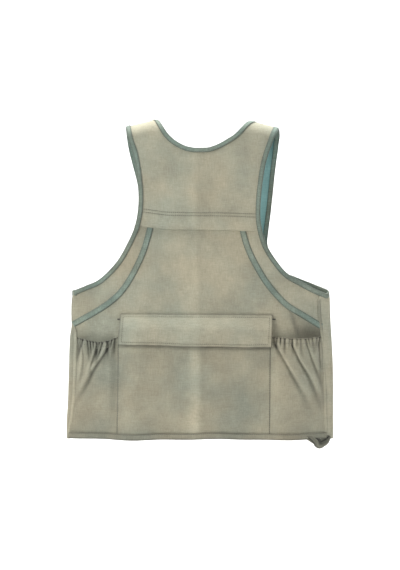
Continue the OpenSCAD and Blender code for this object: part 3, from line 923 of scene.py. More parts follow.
class VEST_OT_bindings(bpy.types.Operator):
    """Bound edges of the neck, the armholes and the fronts"""

    bl_idname = "vest.bindings"
    bl_label = "Bindings"

    def execute(self, context):
        def fixed(piece, *nodes):
            attach(piece, "vest_body", *nodes)

        neck = np.vstack([BACK_NECK[LEFT][::-1], BACK_NECK[RIGHT][1:]])
        make_binding("neck_tape", resampled(neck, 3.0), BACK, -1, fixed, "neck_binding")
        for side, name in SIDES:
            def swinging(piece, *nodes, side=side):
                hang_between(piece, side, *nodes)

            make_binding(f"armhole_tape_{name}", BACK_ARMHOLE[side], BACK, side, fixed,
                         f"armhole_binding_{name}")
            fixed(sheet_piece(f"pit_tape_{name}", [(pit_tape(side), -0.05)],
                              MATERIALS["tape"], "binding_tape", thickness=LIGHT_CLOTH))
            # The armhole's front edge is fixed to the body up to the swing line; above it the
            # piece is baked in place
            arm = FRONT_ARMHOLE[side]
            within = np.abs(arm[:, 0]) < np.abs(swing_reach(side, arm[:, 1]))
            cut = int(np.argmax(within | (arm[:, 1] > YOKE_Z)))
            make_binding(f"underarm_tape_{name}", arm[:cut + 1], FRONT, side, fixed)
            make_binding(f"front_armhole_tape_{name}", arm[cut:], FRONT, side, swinging,
                         f"front_armhole_binding_{name}")
            make_binding(f"front_neck_tape_{name}", FRONT_NECK[side], FRONT, -side, swinging)
        return {"FINISHED"}


def pit_tape(side):
    """Tape round the foot of an armhole, from the back to the front: half a pipe about
    an upright line, with its top edge rolled inwards."""
    edge_x = np.abs(SIDE_EDGE[side][0, 0])
    turn = np.linspace(-np.pi / 2, np.pi / 2, 25)[None, :]
    fall = np.concatenate([np.linspace(0, 1, 7)[::-1] * 9, -1.2 * np.sin([0.5, 1.0, 1.57])])
    inwards = np.concatenate([np.zeros(7), [0.6, 1.6, 3.2]])[:, None]
    lift = (FRONT_ARMHOLE[side][0, 1] - BACK_ARMHOLE[side][0, 1]) * (0.5 + 0.5 * np.sin(turn))
    top = BACK_ARMHOLE[side][0, 1] + 1 + lift
    x = edge_x - 9 + (9.6 - inwards) * np.cos(turn)
    y = (wall(edge_x - 9) + 3.9 - inwards) * np.sin(turn)
    return np.stack([side * x, y, top - fall[:, None] + 0 * x], -1)


# ---------------------------------------------------------------- linings


class VEST_OT_linings(bpy.types.Operator):
    """Teal linings of the back, the straps and the fronts"""

    bl_idname = "vest.linings"
    bl_label = "Linings"

    def execute(self, context):
        patches = []
        for side, _ in SIDES:
            k = back_rows(HEM_Z + 3, 5.0)
            outer = np.where(k > BACK_ARMHOLE[side][0, 1], reach(BACK_ARMHOLE[side], k),
                             side_reach(SIDE_SEAM, side, k))
            x = between(neck_of_back(side, k), outer, 40)
            patches.append((place(x, k[:, None], LINING_D, BACK), 0.0))
        piece = cloth("back_lining_cloth", patches, "back_lining", "lining",
                      thickness=LIGHT_CLOTH)
        attach(piece, "vest_body", "back_lining")
        for side, name in SIDES:
            k = front_rows(side, 5.0)
            x = between(front_inner(side, k), front_outer(side, k), 40)
            z = height_at(x, np.broadcast_to(k[:, None], x.shape))
            # The lining is nearly black at the shoulder, in the strap's own shade
            tint = -0.62 * smooth((z + 90) / 70) + 0.05 * smooth((-120 - z) / 80)
            piece = cloth(f"front_lining_cloth_{name}",
                          [(place(x, k[:, None], LINING_D, FRONT), tint)],
                          "front_lining", "lining", thickness=LIGHT_CLOTH)
            hang_between(piece, side, f"front_lining_{name}", f"strap_lining_{name}")
        return {"FINISHED"}


# ---------------------------------------------------------------- sides and hem

ROUND = 14.0
ROUND_ARC = 14.0


def side_wrap(side, z, d, stand=0.0, columns=26):
    """Cloth that turns the side: from the side seam on the back it rounds the outer line
    as part of an ellipse and runs along the front to the swing line."""
    edge_x = np.abs(side_reach(SIDE_EDGE, side, z))
    seam_x = np.abs(side_reach(SIDE_SEAM, side, z)) - 3.0
    swing_x = np.abs(swing_reach(side, z))
    flat_from = edge_x - ROUND
    inside = np.clip((seam_x - flat_from) / ROUND, -1, 1)
    start = np.where(seam_x < flat_from, -(ROUND_ARC + flat_from - seam_x),
                     -ROUND_ARC * np.arccos(inside) * 2 / np.pi)
    end = ROUND_ARC + np.maximum(flat_from - swing_x, 0)
    s = between(start, end, columns)
    turn = np.clip(s / ROUND_ARC, -1, 1) * np.pi / 2
    depth = ROUND + d - SHELL_D
    x = flat_from[:, None] + depth * np.cos(turn) - np.maximum(np.abs(s) - ROUND_ARC, 0)
    z = np.broadcast_to(z[:, None], x.shape)
    relief = np.where(s > 0, front_relief(side * x, z), back_relief(side * x, z) + stand)
    y = (wall(x) + d + relief) * np.sin(turn)
    return np.stack([side * x, y, z], -1)


def folded_hem(line, face, outer_d):
    """Hem band along a bottom line, cloth above it."""
    n = len(line)
    points, inset = binding_points(line, face, HEM_WIDTH, np.full(n, outer_d),
                                   np.full(n, HEM_INNER_D), 1)
    # Painted shade in the fold at the band's stitched edge and along its rounded rim, over a band
    # that is a little darker throughout
    tint = -0.10 - 0.30 * hill((inset - HEM_WIDTH) / 1.2) - 0.35 * hill((inset + 0.6) / 2.0)
    return points, tint[None, :]


def hem_line(x):
    """Height of the bottom edge: level with two shallow waves."""
    return HEM_Z + 2.2 + 1.2 * np.sin(x / 45 + 1) + 0.6 * np.sin(x / 17)


class VEST_OT_sides(bpy.types.Operator):
    """Cloth round both sides, taped side seams and hems"""

    bl_idname = "vest.sides"
    bl_label = "Sides and hem"

    def execute(self, context):
        for side, name in SIDES:
            top = SIDE_EDGE[side][0, 1] - 1
            z = np.linspace(HEM_Z + 1, top, 90)
            points = side_wrap(side, z, SHELL_D, 0.0 if side == LEFT else 1.0)
            crease = 1.2 * np.sin(z / 31 + side) * smooth((top - z) / 40)
            points[..., 1] += crease[:, None] * 0.6 * (points[..., 1] < 0)
            # Painted shade in a narrow band along the side seam on the back; the back-facing part
            # is also darker at the left side and lighter at the right
            seam_x = np.abs(side_reach(SIDE_SEAM, side, z))[:, None]
            inner = (points[..., 1] < 0) * hill((np.abs(points[..., 0]) - seam_x + 3) / 2.2)
            behind = smooth(0.5 - points[..., 1] / 16)
            tint = (-0.22 if side == LEFT else 0.10) * behind - 0.4 * inner
            arm = FRONT_ARMHOLE[side]
            low_arm = arm[arm[:, 1] < YOKE_Z]
            outside = np.abs(low_arm[:, 0]) > np.abs(swing_reach(side, low_arm[:, 1]))
            k = rows_between(top, low_arm[outside, 1].max(), 2.0)
            x = between(swing_reach(side, k), np.clip(reach(arm, k), *np.sort(
                [swing_reach(side, top), side * 262])), 20)
            corner = place(x, k[:, None], SHELL_D, FRONT)
            piece = cloth(f"side_cloth_{name}", [(points, tint), (corner, 0.0)], "side")
            attach(piece, "vest_body", f"front_side_{name}")
            inside = [(side_wrap(side, z, LINING_D), 0.0),
                      (place(x, k[:, None], LINING_D, FRONT), 0.0)]
            attach(cloth(f"side_lining_cloth_{name}", inside, "side", "lining",
                         thickness=LIGHT_CLOTH), "vest_body")
            self.seam(side, name)
            x = np.sort(side * np.linspace(np.abs(swing_reach(side, HEM_Z)) - 1, 13, 70))
            line = np.stack([x, hem_line(x)], 1)
            piece = sheet_piece(f"front_hem_cloth_{name}",
                                [folded_hem(line, FRONT, FRONT_HEM_D)],
                                MATERIALS["hem"], "hem_tape", thickness=LIGHT_CLOTH)
            attach(piece, f"front_{name}", f"front_hem_{name}")
            sew(f"front_hem_stitches_{name}", [line + (0, HEM_STITCH)],
                lambda x, k: FRONT_HEM_D + 0.7, FRONT, f"front_{name}")
        x = np.linspace(-264, 254, 220)
        line = np.stack([x, hem_line(x)], 1)
        patches = [folded_hem(line, BACK, BACK_HEM_D)]
        for side, _ in SIDES:
            x = np.sort(side * np.linspace(np.abs(swing_reach(side, HEM_Z)) + 1, 263, 8))
            patches.append(folded_hem(np.stack([x, hem_line(x)], 1), FRONT, FRONT_HEM_D))
        piece = sheet_piece("back_hem_cloth", patches, MATERIALS["hem"], "hem_tape",
                            thickness=LIGHT_CLOTH)
        attach(piece, "vest_body", "hem_band_back")
        self.twisted_corner()
        sew("back_hem_stitches", [line + (0, HEM_STITCH)],
            lambda x, k: BACK_HEM_D + 0.7, BACK, "vest_body")
        return {"FINISHED"}

    def twisted_corner(self):
        """Corner of the hem at the right, rolled on itself and hanging: a tube along a
        short curl whose oval section turns as it goes."""
        path = np.array([(196, -20, -634), (218, -17, -638), (232, -14, -645),
                         (240, -11, -652), (248, -9, -648), (256, -6, -638),
                         (261, -4, -630)], float)
        line = curve(path, 1.2)
        t = np.linspace(0, 1, len(line))[:, None]
        along = np.gradient(line, axis=0)
        along /= np.linalg.norm(along, axis=1)[:, None]
        out = np.array([0, 1.0, 0])
        across = np.cross(along, out)
        across /= np.linalg.norm(across, axis=1)[:, None]
        around = np.linspace(0, 2 * np.pi, 49)[None, :]
        size = np.interp(t, [0, 0.2, 0.45, 0.62, 0.8, 0.93, 1], [0.3, 3.6, 7.0, 9.0, 7.5, 5, 0.3])
        turned = around + 3.2 * t
        r = size * (1 + 0.20 * np.cos(3 * turned) + 0.09 * np.cos(7 * turned + 9 * t))
        points = line[:, None] + across[:, None] * (r * np.cos(around))[..., None] + (
            out * 0.6 * (r * np.sin(around))[..., None])
        # Painted shade over the whole roll, with painted highlight where its section bulges out
        tint = -0.58 + 1.2 * (r / size - 1)
        piece = mesh_object("hem_corner_roll", *joined([(points, tint)]), MATERIALS["hem"])
        attach(piece, "vest_body")

    def seam(self, side, name):
        """Narrow tape down the side seam."""
        line = SIDE_SEAM[side]
        pit = BACK_ARMHOLE[side][0, 1] - 9
        line = resampled(line[(line[:, 1] > HEM_Z + 11) & (line[:, 1] < pit)], 3.0)
        w = np.linspace(-1, 1, 7)
        flat_x = line[:, :1] + 3.2 * w
        z = np.broadcast_to(line[:, 1:], flat_x.shape)
        points = place(flat_x, z, TAPE_D + 0.6 * (1 - w**4), BACK)
        edge_x = np.abs(side_reach(SIDE_EDGE, side, line[:, 1]))[:, None]
        past = np.clip((np.abs(flat_x) - edge_x + ROUND) / ROUND, 0, 0.98)
        points[..., 1] *= np.sqrt(1 - past**2)
        # Painted shade along both edges of the tape; the tape is also darker in its upper part,
        # above the pockets
        low = smooth((-415 - z) / 25)
        edges = -0.2 * np.abs(w)**6
        piece = sheet_piece(f"side_seam_tape_{name}", [(points, edges - 0.2 * (1 - low))],
                            MATERIALS["canvas"], "hem_tape", thickness=FLAT_TAPE)
        attach(piece, "vest_body", f"side_seam_{name}")


# ---------------------------------------------------------------- pouch and side pockets

POUCH_X = {LEFT: curve([(-163, -380), (-164, -456), (-167, -642)]),
           RIGHT: curve([(142, -380), (141.5, -456), (140, -642)])}
POUCH_MOUTH = node_box("pouch_panel")[1][2]
POUCH_STAND = 6.5


def pouch_edge(side, z):
    """Distance of the pouch's seam at height z."""
    return side_reach(POUCH_X, side, z)


def pouch_d(x, z):
    """The pouch lies on the back at its two seams and its foot and stands off between,
    fullest low down on both sides of the crease."""
    from_left = smooth((x - pouch_edge(LEFT, z)) / 45)
    from_right = smooth((pouch_edge(RIGHT, z) - x) / 45)
    from_foot = smooth((z - HEM_Z - 8) / 60)
    sag = 1.2 * hill((z + 560) / 60) * np.sin((x + 12) / 34)
    return 3.0 + (POUCH_STAND + sag) * from_left * from_right * from_foot


def flap_top(x):
    """Height of the pouch flap's sewn edge, a little lower to the right."""
    return POUCH_HINGE_Z - 0.3 - 1.8 * (x + 159) / 304


def flap_foot(x):
    """Height of the pouch flap's free edge, lower to the right and slightly waved."""
    u = (x + 163) / 306
    return -451 - 6 * u - 1.5 * np.sin(np.pi * u) + 0.5 * np.sin(x / 19)


def flap_d(x, z):
    """The flap starts on the back, slants out over the mouth and hangs just clear of it."""
    drop = flap_top(x) - z
    out = smooth(drop / 34)
    edge_lift = 0.7 * hill((x + 161) / 8) + 0.7 * hill((x - 144) / 8)
    wave = 0.5 * np.sin(x / 23 + 0.8) * smooth(drop / 50)
    return 4.2 + (POUCH_STAND + 2.6) * out + edge_lift + wave


class VEST_OT_pouch(bpy.types.Operator):
    """Back pouch, its flap with a stitched border, and the bar tacks"""

    bl_idname = "vest.pouch"
    bl_label = "Back pouch"

    def execute(self, context):
        z = rows_between(HEM_Z + 4, POUCH_MOUTH, 3.5)
        x = between(pouch_edge(LEFT, z), pouch_edge(RIGHT, z), 100)
        deep = np.broadcast_to(z[:, None], x.shape)
        stand = pouch_d(x, deep)
        # Painted shade along the pouch's sewn sides, painted shadow just under the flap's edge,
        # and a faint painted shade right of the crease
        seams = sum(hill((x - pouch_edge(side, deep)) / 1.5) for side, _ in SIDES)
        under_flap = hill((deep - flap_foot(x) + 2) / 3.5)
        dip = 0.05 * hill((x - 35) / 26) * hill((deep + 540) / 55)
        tint = back_tint(x, deep) - 0.40 * under_flap - 0.30 * seams - dip
        outer = place(x, deep, stand, BACK)
        hem = mouth_hem(x[-1], POUCH_MOUTH, stand[-1], BACK, rim=0.8, rise=1.0, fall=16,
                        inner=1.7, count=5, floor=SHELL_D + 0.6)
        shade = np.vstack([tint, np.zeros((10, 100))])
        piece = cloth("pouch_cloth", [(np.concatenate([outer, *hem]), shade)], "pouch",
                      rests_on=["back_panel_cloth"])
        attach(piece, "vest_body", "pouch_panel")
        rows = []
        for side, _ in SIDES:
            deep = np.linspace(HEM_Z + 12, POUCH_MOUTH - 2, 70)
            rows.append(np.stack([pouch_edge(side, deep) - side * 1.5, deep], 1))
        sew("pouch_stitches", rows, lambda x, k: pouch_d(x, k) + 0.6, BACK, "vest_body")
        self.flap()
        self.tacks()
        return {"FINISHED"}

    def flap(self):
        u = np.linspace(0, 1, 110)[None, :]
        v = np.linspace(0, 1, 26)[:, None]
        x = (-159 - 4 * v) + (304 + 2 * v) * u
        z = flap_foot(x) + (flap_top(x) - flap_foot(x)) * (1 - v)
        border = np.minimum.reduce([x - x[:, :1], x[:, -1:] - x, z - flap_foot(x),
                                    flap_top(x) - z])
        inset = sizes().flap_inset
        groove = -0.5 * hill((border - inset) / 1.6)
        # Painted shade along the stitched groove and a dark painted outline along the flap's
        # edges, where it stands off; the flap is a little lighter otherwise
        tint = (0.04 + back_tint(x, z) - 0.20 * hill((border - inset) / 1.3)
                - 0.62 * hill(border / 1.5))
        piece = cloth("pouch_flap_cloth", [(place(x, z, flap_d(x, z) + groove, BACK), tint)],
                      "pouch_flap", rests_on=["pouch_cloth"], thickness=2.3, bevel=0.8)
        attach(piece, "pouch_flap", "pouch_flap")
        x0, x1 = -159 + inset, 145 - inset
        along = np.linspace(x0, x1, 90)
        top = np.stack([along, flap_top(along) - inset], 1)
        foot = np.stack([along - 3.5, flap_foot(along) + inset], 1)
        ends = [np.stack([np.linspace(a, a - 3.5, 20),
                          np.linspace(flap_top(a) - inset, flap_foot(a) + inset, 20)], 1)
                for a in (x0, x1)]
        sew("pouch_flap_stitches", [top, foot, *ends], lambda x, k: flap_d(x, k) + 0.8,
            BACK, "pouch_flap")

    def tacks(self):
        """Bar tacks: short rows of close, dark, crosswise stitches."""
        rows = []
        for x0 in (-165, 144.5):
            rows += [np.array([[x, -402.5], [x + 0.3, -398.5]])
                     for x in x0 + np.arange(0, 6.5, 0.8)]
        sew("pouch_tacks", rows, lambda x, k: SHELL_D + 0.9, BACK, "vest_body",
            MATERIALS["tack"], "bar_tacks")


MOUTH = {LEFT: curve([(-165, -437), (-182, -443), (-200, -447), (-222, -444), (-249, -437)]),
         RIGHT: curve([(142, -437), (165, -438), (193, -440), (220, -439), (245, -436)])}
# Long folds: points down each one, its width, depth and reach up and down
FOLDS = {
    LEFT: [([(-181, -452), (-197, -480), (-212, -502), (-226, -530), (-250, -575)], 5.0, 3.4),
           ([(-236, -452), (-234, -490), (-246, -560)], 4.0, 1.5),
           ([(-205, -452), (-213, -478), (-219, -500)], 3.5, 1.8)],
    RIGHT: [([(152, -450), (163, -474), (181, -506), (203, -546), (226, -590)], 5.0, 3.0),
            ([(184, -452), (199, -484), (220, -520), (238, -566), (250, -600)], 5.0, 3.4),
            ([(214, -452), (224, -480), (236, -512), (247, -560)], 4.5, 2.6),
            ([(238, -450), (241, -500), (249, -560)], 4.0, 2.2)],
}


def fold_relief(side, x, z):
    """Sum of long folds: each is a valley along its line with a soft ridge beside it,
    deepest near the mouth and fading to its end."""
    total = np.zeros_like(x)
    for points, width, depth in FOLDS[side]:
        line = curve(points)
        middle = np.interp(z, line[::-1, 1], line[::-1, 0])
        wide = width * (0.5 + 0.8 * smooth((line[0, 1] - z) / 130))
        fade = smooth((line[0, 1] + 12 - z) / 14) * (
            1 - smooth((line[0, 1] - 50 - z) / (line[0, 1] - line[-1, 1] - 30)))
        valley = -hill((x - middle) / wide)
        ridge = 0.55 * hill((x - middle + side * -1.9 * wide) / (1.4 * wide))
        total += depth * fade * (valley + ridge)
    return total


def pucker_relief(side, x, z):
    """Sum of short puckers under the mouth, evenly drawn in by the elastic with chance
    in their places, lengths and depths. Each is a narrow valley that widens downwards."""
    chance = np.random.default_rng(sizes().seed + side)
    mouth = MOUTH[side]
    low, high = np.sort(mouth[[0, -1], 0])
    count = 13
    total = np.zeros_like(x)
    under = side_reach_by_x(mouth, x) - z
    for index in range(count):
        at = low + (high - low) * (index + 0.5 + chance.uniform(-0.25, 0.25)) / count
        lean = chance.uniform(-0.15, 0.35) * side
        width = chance.uniform(1.6, 2.4)
        long = chance.uniform(18, 62)
        deep = sizes().pucker * chance.uniform(0.6, 1.25)
        middle = at + lean * under
        fade = 1 - smooth(under / long)
        total -= deep * fade * hill((x - middle) / (width * (1 + np.maximum(under, 0) / 40)))
    return np.maximum(total, -1.35 * sizes().pucker)


def side_reach_by_x(line, x):
    """Height of a line at distance x."""
    order = np.argsort(line[:, 0])
    return np.interp(x, line[order, 0], line[order, 1])


def pocket_base_d(side, x, z):
    """A side pocket lies on the back at both seams and its foot, and its mouth stands
    open between them."""
    seam = np.abs(x - pouch_edge(side, z))
    edge_gap = np.abs(side_reach(SIDE_SEAM, side, z) - x)
    ends = smooth(seam / 18) * smooth(edge_gap / 18)
    from_foot = smooth((z - HEM_Z - 8) / 70)
    mouth = smooth((z + 520) / 80)
    return 3.0 + (4.5 + 5.5 * mouth) * ends * from_foot


def pocket_d(side, x, z):
    """Puckers and folds on the standing cloth, fading out at its seams and stopped where
    they meet the back."""
    seam = smooth(np.abs(x - pouch_edge(side, z)) / 6)
    edge_gap = smooth(np.abs(side_reach(SIDE_SEAM, side, z) - x) / 6)
    drawn = pucker_relief(side, x, z) + fold_relief(side, x, z)
    return np.maximum(pocket_base_d(side, x, z) + drawn * seam * edge_gap, SHELL_D + 1.1)


class VEST_OT_side_pockets(bpy.types.Operator):
    """Side pockets with gathered mouths, and the elastic inside them"""

    bl_idname = "vest.side_pockets"
    bl_label = "Side pockets"

    def execute(self, context):
        for side, name in SIDES:
            self.bag(side, name)
            self.elastic(side, name)
        return {"FINISHED"}

    def ride_mouth(self, piece, side, name, *nodes):
        """Bakes the piece's placement into its mesh and hides the frame nodes that it stands for."""
        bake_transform(piece)
        if nodes:
            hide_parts(*nodes)

    def bag(self, side, name):
        v = np.linspace(0, 1, 140)[:, None] ** 0.8
        u = np.linspace(0, 1, 130)[None, :]
        foot = HEM_Z + 4
        x_low = pouch_edge(side, np.array([foot]))[0]
        mouth_z = side_reach_by_x(MOUTH[side], np.linspace(MOUTH[side][0, 0],
                                                           MOUTH[side][-1, 0], 130))[None, :]
        z = foot + (mouth_z - foot) * v
        inner = pouch_edge(side, z)
        outer = side_reach(SIDE_SEAM, side, z)
        x = inner + (outer - inner) * u
        d = pocket_d(side, x, z)
        drawn = d - pocket_base_d(side, x, z)
        outer_points = place(x, z, d, BACK)
        # Painted shade in the valleys of the puckers and folds and painted highlight on their
        # ridges, a dark painted shade line along the mouth and along the outer seam, fading out
        # towards the foot; the whole pocket is also darker, more so at the left
        shade = 0.19 if side == LEFT else 0.10
        tint = np.clip(drawn * 0.125, -0.55, 0.10) - shade - 0.35 * hill((z - mouth_z) / 1.6)
        tint -= 0.30 * hill((np.abs(outer) - np.abs(x)) / 5.0) * smooth((z + 610) / 90)
        top_x, top_d = x[-1], d[-1]
        wobble = 0.45 * drawn[-1] + 0.6 * np.sin(top_x * 0.47 + 1)
        outer_points[:, :, 2] += 0.5 * wobble * smooth((v - 0.9) / 0.1)
        over, _ = mouth_hem(top_x, mouth_z + 0.5 * wobble, top_d, BACK, rim=0.9, rise=1.2,
                            fall=13, inner=2.0, count=6, floor=SHELL_D + 0.6)
        _, facing = mouth_hem(top_x, mouth_z, top_d, BACK, rim=0.9, rise=1.2,
                              fall=13, inner=2.0, count=6, floor=SHELL_D + 0.6)
        # Painted shade on the rim and on the facing inside the mouth
        shade = np.vstack([tint, np.full((5, 130), -0.55), np.full((6, 130), -0.5)])
        piece = cloth(f"side_pocket_cloth_{name}",
                      [(np.concatenate([outer_points, over, facing]), shade)],
                      "side_pocket", held="gathered", rests_on=["back_panel_cloth"])
        self.ride_mouth(piece, side, name, f"side_pocket_{name}")
        along = np.linspace(x[-1, 2], x[-1, -3], 60)
        row = np.stack([along, side_reach_by_x(MOUTH[side], along) - 9.5], 1)
        thread = stitches(f"side_pocket_stitches_{name}", [row], lambda x, k, lift: place(
            x, k, pocket_d(side, x, k) + 0.6 + lift, BACK))
        self.ride_mouth(thread, side, name)

    def elastic(self, side, name):
        """Elastic tape between the pocket's cloth and its turned-in facing, waved with
        the puckers."""
        along = np.linspace(MOUTH[side][0, 0] + side * 6, MOUTH[side][-1, 0] - side * 6, 90)
        v = np.linspace(-1, 1, 5)[:, None]
        z = side_reach_by_x(MOUTH[side], along)[None, :] - 4.8 + 3.0 * v
        d = np.maximum(pocket_d(side, along + 0 * v, z) - 1.0, SHELL_D + 0.5)
        piece = sheet_piece(f"elastic_{name}", [(place(along + 0 * v, z, d, BACK), 0.0)],
                            MATERIALS["elastic"], "elastic", thickness=0.5)
        self.ride_mouth(piece, side, name, f"mouth_elastic_{name}")


# ---------------------------------------------------------------- fronts


def front_rows(side, step):
    """Row levels of a front, close where its edges run nearly level."""
    return rows_between(HEM_Z + 2, TOP, step, FRONT_NECK[side], FRONT_ARMHOLE[side])


def front_inner(side, k):
    """Inner end of a front on each row: the zip edge, or the V above it."""
    return np.where(k > V_Z, reach(FRONT_NECK[side], k), side * 12.0)


def front_outer(side, k):
    """Outer end of a front on each row: the armhole, or the swing line below it."""
    arm = reach(FRONT_ARMHOLE[side], k)
    swing = swing_reach(side, np.clip(k, -641, -60))
    inside = (np.abs(arm) < np.abs(swing)) & (k > FRONT_ARMHOLE[side][0, 1])
    return np.where(inside | (k > -60), arm, swing)


class VEST_OT_fronts(bpy.types.Operator):
    """Front panels, from the shoulders to the hem"""

    bl_idname = "vest.fronts"
    bl_label = "Fronts"

    def execute(self, context):
        for side, name in SIDES:
            k = front_rows(side, 4.0)
            x = between(front_inner(side, k), front_outer(side, k), 60)
            points = place(x, k[:, None], SHELL_D, FRONT)
            tint = -0.05 * hill((np.abs(x) - 26) / 3.0) * (points[..., 2] < V_Z)
            piece = cloth(f"front_cloth_{name}", [(points, tint)], "front")
            hang_between(piece, side, f"front_panel_{name}", f"front_strap_{name}")
            z = np.linspace(HEM_Z + 14, V_Z - 8, 140)
            rows = [np.stack([side * (x_at + 0 * z), z], 1) for x_at in (15.0, 21.5)]
            sew(f"front_edge_stitches_{name}", rows, lambda x, k: 4.3, FRONT,
                f"front_{name}")
        return {"FINISHED"}


def pocket_shape(node):
    """Spans of a front pocket, read from the frame: inner and outer distance, foot,
    mouth and the distance that it stands off."""
    low, high = node_box(node)
    x0, x1 = sorted((abs(low[0]), abs(high[0])))
    return x0, x1, low[2], high[2], high[1] - HALF_DEPTH - 0.6


def front_pocket(side, name, kind, piece_name):
    """Patch pocket with a pleated side: the face is level and crowned, its three sewn
    sides fold back to the panel, and the mouth is hemmed."""
    x0, x1, foot, mouth, stand = pocket_shape(f"{kind}_pocket_{name}")
    u = np.linspace(0, 1, 60)[None, :]
    v = np.linspace(0, 1, 60)[:, None]
    x = side * (x0 + (x1 - x0) * (0.5 - 0.5 * np.cos(np.pi * u)) + 0 * v)
    z = foot + (mouth - foot) * (1 - np.cos(np.pi * v / 2)) + 0 * u
    wall_w = 0.09 * (x1 - x0)

    def stand_off(x, z):
        """Steep at the two sides and the foot, crowned between, with a pleat at the
        sides."""
        across = np.clip(np.abs(x), x0, x1)
        from_sides = np.minimum(across - x0, x1 - across)
        rise = smooth(from_sides / wall_w) * smooth((z - foot) / wall_w)
        crown = 1.0 + 0.12 * np.sin(np.pi * (across - x0) / (x1 - x0))
        pleat = -0.25 * hill((from_sides - 0.55 * wall_w) / 1.6) * smooth((z - foot) / wall_w)
        sag = 0.6 * np.sin(x / 13 + z / 31) * rise
        return 3.0 + (stand - 3.4) * np.clip(rise * crown / 1.12 + pleat, 0, 1) + sag, rise

    d, rise = stand_off(x, z)
    points = place(x, z, d, FRONT)
    hem = mouth_hem(x[-1], mouth, d[-1], FRONT, rim=0.8, rise=1.0, fall=18, inner=1.8,
                    count=5)
    # Painted shade on the steep sides and the foot, where the pocket folds back to the panel, and
    # on the facing inside the mouth
    tint = np.clip(0.1 * (rise - 1), -0.12, 0)
    shade = np.vstack([tint, np.zeros((5, 60)), np.full((5, 60), -0.1)])
    piece = cloth(piece_name, [(np.concatenate([points, *hem]), shade)], f"{kind}_pocket",
                  rests_on=[f"front_cloth_{name}"])
    attach(piece, f"front_{name}", f"{kind}_pocket_{name}")
    inset = 2.2
    line = curve([(x0 + inset, mouth - 2), (x0 + inset, foot + 40)])
    out = curve([(x1 - inset, foot + 40), (x1 - inset, mouth - 2)])
    low = [(x0 + inset, foot + 40), (x0 + inset, foot + inset), (x1 - inset, foot + inset),
           (x1 - inset, foot + 40)]
    low = resampled(np.array(low, float), 2.0)
    band = curve([(x0 + wall_w, mouth - 16), (x1 - wall_w, mouth - 16)])
    rows = [r * (side, 1) for r in (line, low, out)]
    sew(f"{piece_name}_stitches", rows, lambda x, k: stand_off(x, k)[0] + 0.62, FRONT,
        f"front_{name}")
    sew(f"{piece_name}_band_stitches", [band * (side, 1)],
        lambda x, k: stand_off(x, k)[0] + 0.55, FRONT, f"front_{name}")


def front_flap(side, name, kind, piece_name):
    """Flap with clipped corners: it slants out over the mouth and hangs clear of it."""
    low, high = node_box(f"{kind}_flap_{name}")
    x0, x1 = sorted((abs(low[0]), abs(high[0])))
    top, foot = high[2], low[2]
    stand = high[1] - HALF_DEPTH - 0.75
    clip = 9.0
    u = np.linspace(0, 1, 60)[None, :]
    v = np.linspace(0, 1, 34)[:, None]
    width = x1 - x0
    away = x0 + width * u
    corner = np.maximum(0, clip - np.minimum(away - x0, x1 - away))
    z = top + (foot + corner - top) * v
    x = side * away + 0 * z

    def stand_off(x, z):
        out = smooth((top - z) / 30)
        return 4.1 + (stand - 4.1) * out + 0.15 * np.sin(x / 15) * out

    inset = sizes().flap_inset
    border = np.minimum.reduce([away - x0 + 0 * z, x1 - away + 0 * z, z - foot - corner, top - z])
    groove = -0.25 * hill((border - inset) / 1.5)
    # Painted shade along the stitched groove; the flap is a touch lighter elsewhere
    tint = 0.02 - 0.09 * hill((border - inset) / 1.2)
    piece = cloth(piece_name, [(place(x, z, stand_off(x, z) + groove, FRONT), tint)],
                  f"{kind}_flap", rests_on=[f"{kind}_pocket_cloth_{name}"],
                  thickness=2.0, bevel=0.7)
    attach(piece, f"{kind}_flap_{name}", f"{kind}_flap_{name}")
    i = inset
    border_line = [(x0 + i, top - i), (x0 + i, foot + clip + 0.4 * i),
                   (x0 + clip + 0.4 * i, foot + i), (x1 - clip - 0.4 * i, foot + i),
                   (x1 - i, foot + clip + 0.4 * i), (x1 - i, top - i), (x0 + i, top - i)]
    line = resampled(np.array(border_line, float), 1.5) * (side, 1)
    sew(f"{piece_name}_stitches", [line], lambda x, k: stand_off(x, k) + 0.75, FRONT,
        f"{kind}_flap_{name}")


class VEST_OT_front_pockets(bpy.types.Operator):
    """Chest and lower pockets with their flaps"""

    bl_idname = "vest.front_pockets"
    bl_label = "Front pockets"

    def execute(self, context):
        for side, name in SIDES:
            for kind in ("chest", "cargo"):
                front_pocket(side, name, kind, f"{kind}_pocket_cloth_{name}")
                front_flap(side, name, kind, f"{kind}_flap_cloth_{name}")
        return {"FINISHED"}


def turned(centre, profile, around=36):
    """Surface of a profile of (radius, height) points turned about an axis along Y."""
    angle = np.linspace(0, 2 * np.pi, around + 1)
    r = np.array(profile)[:, :1]
    h = np.array(profile)[:, 1:]
    return np.stack([centre[0] + r * np.cos(angle), centre[1] + h + 0 * angle,
                     centre[2] + r * np.sin(angle)], -1)


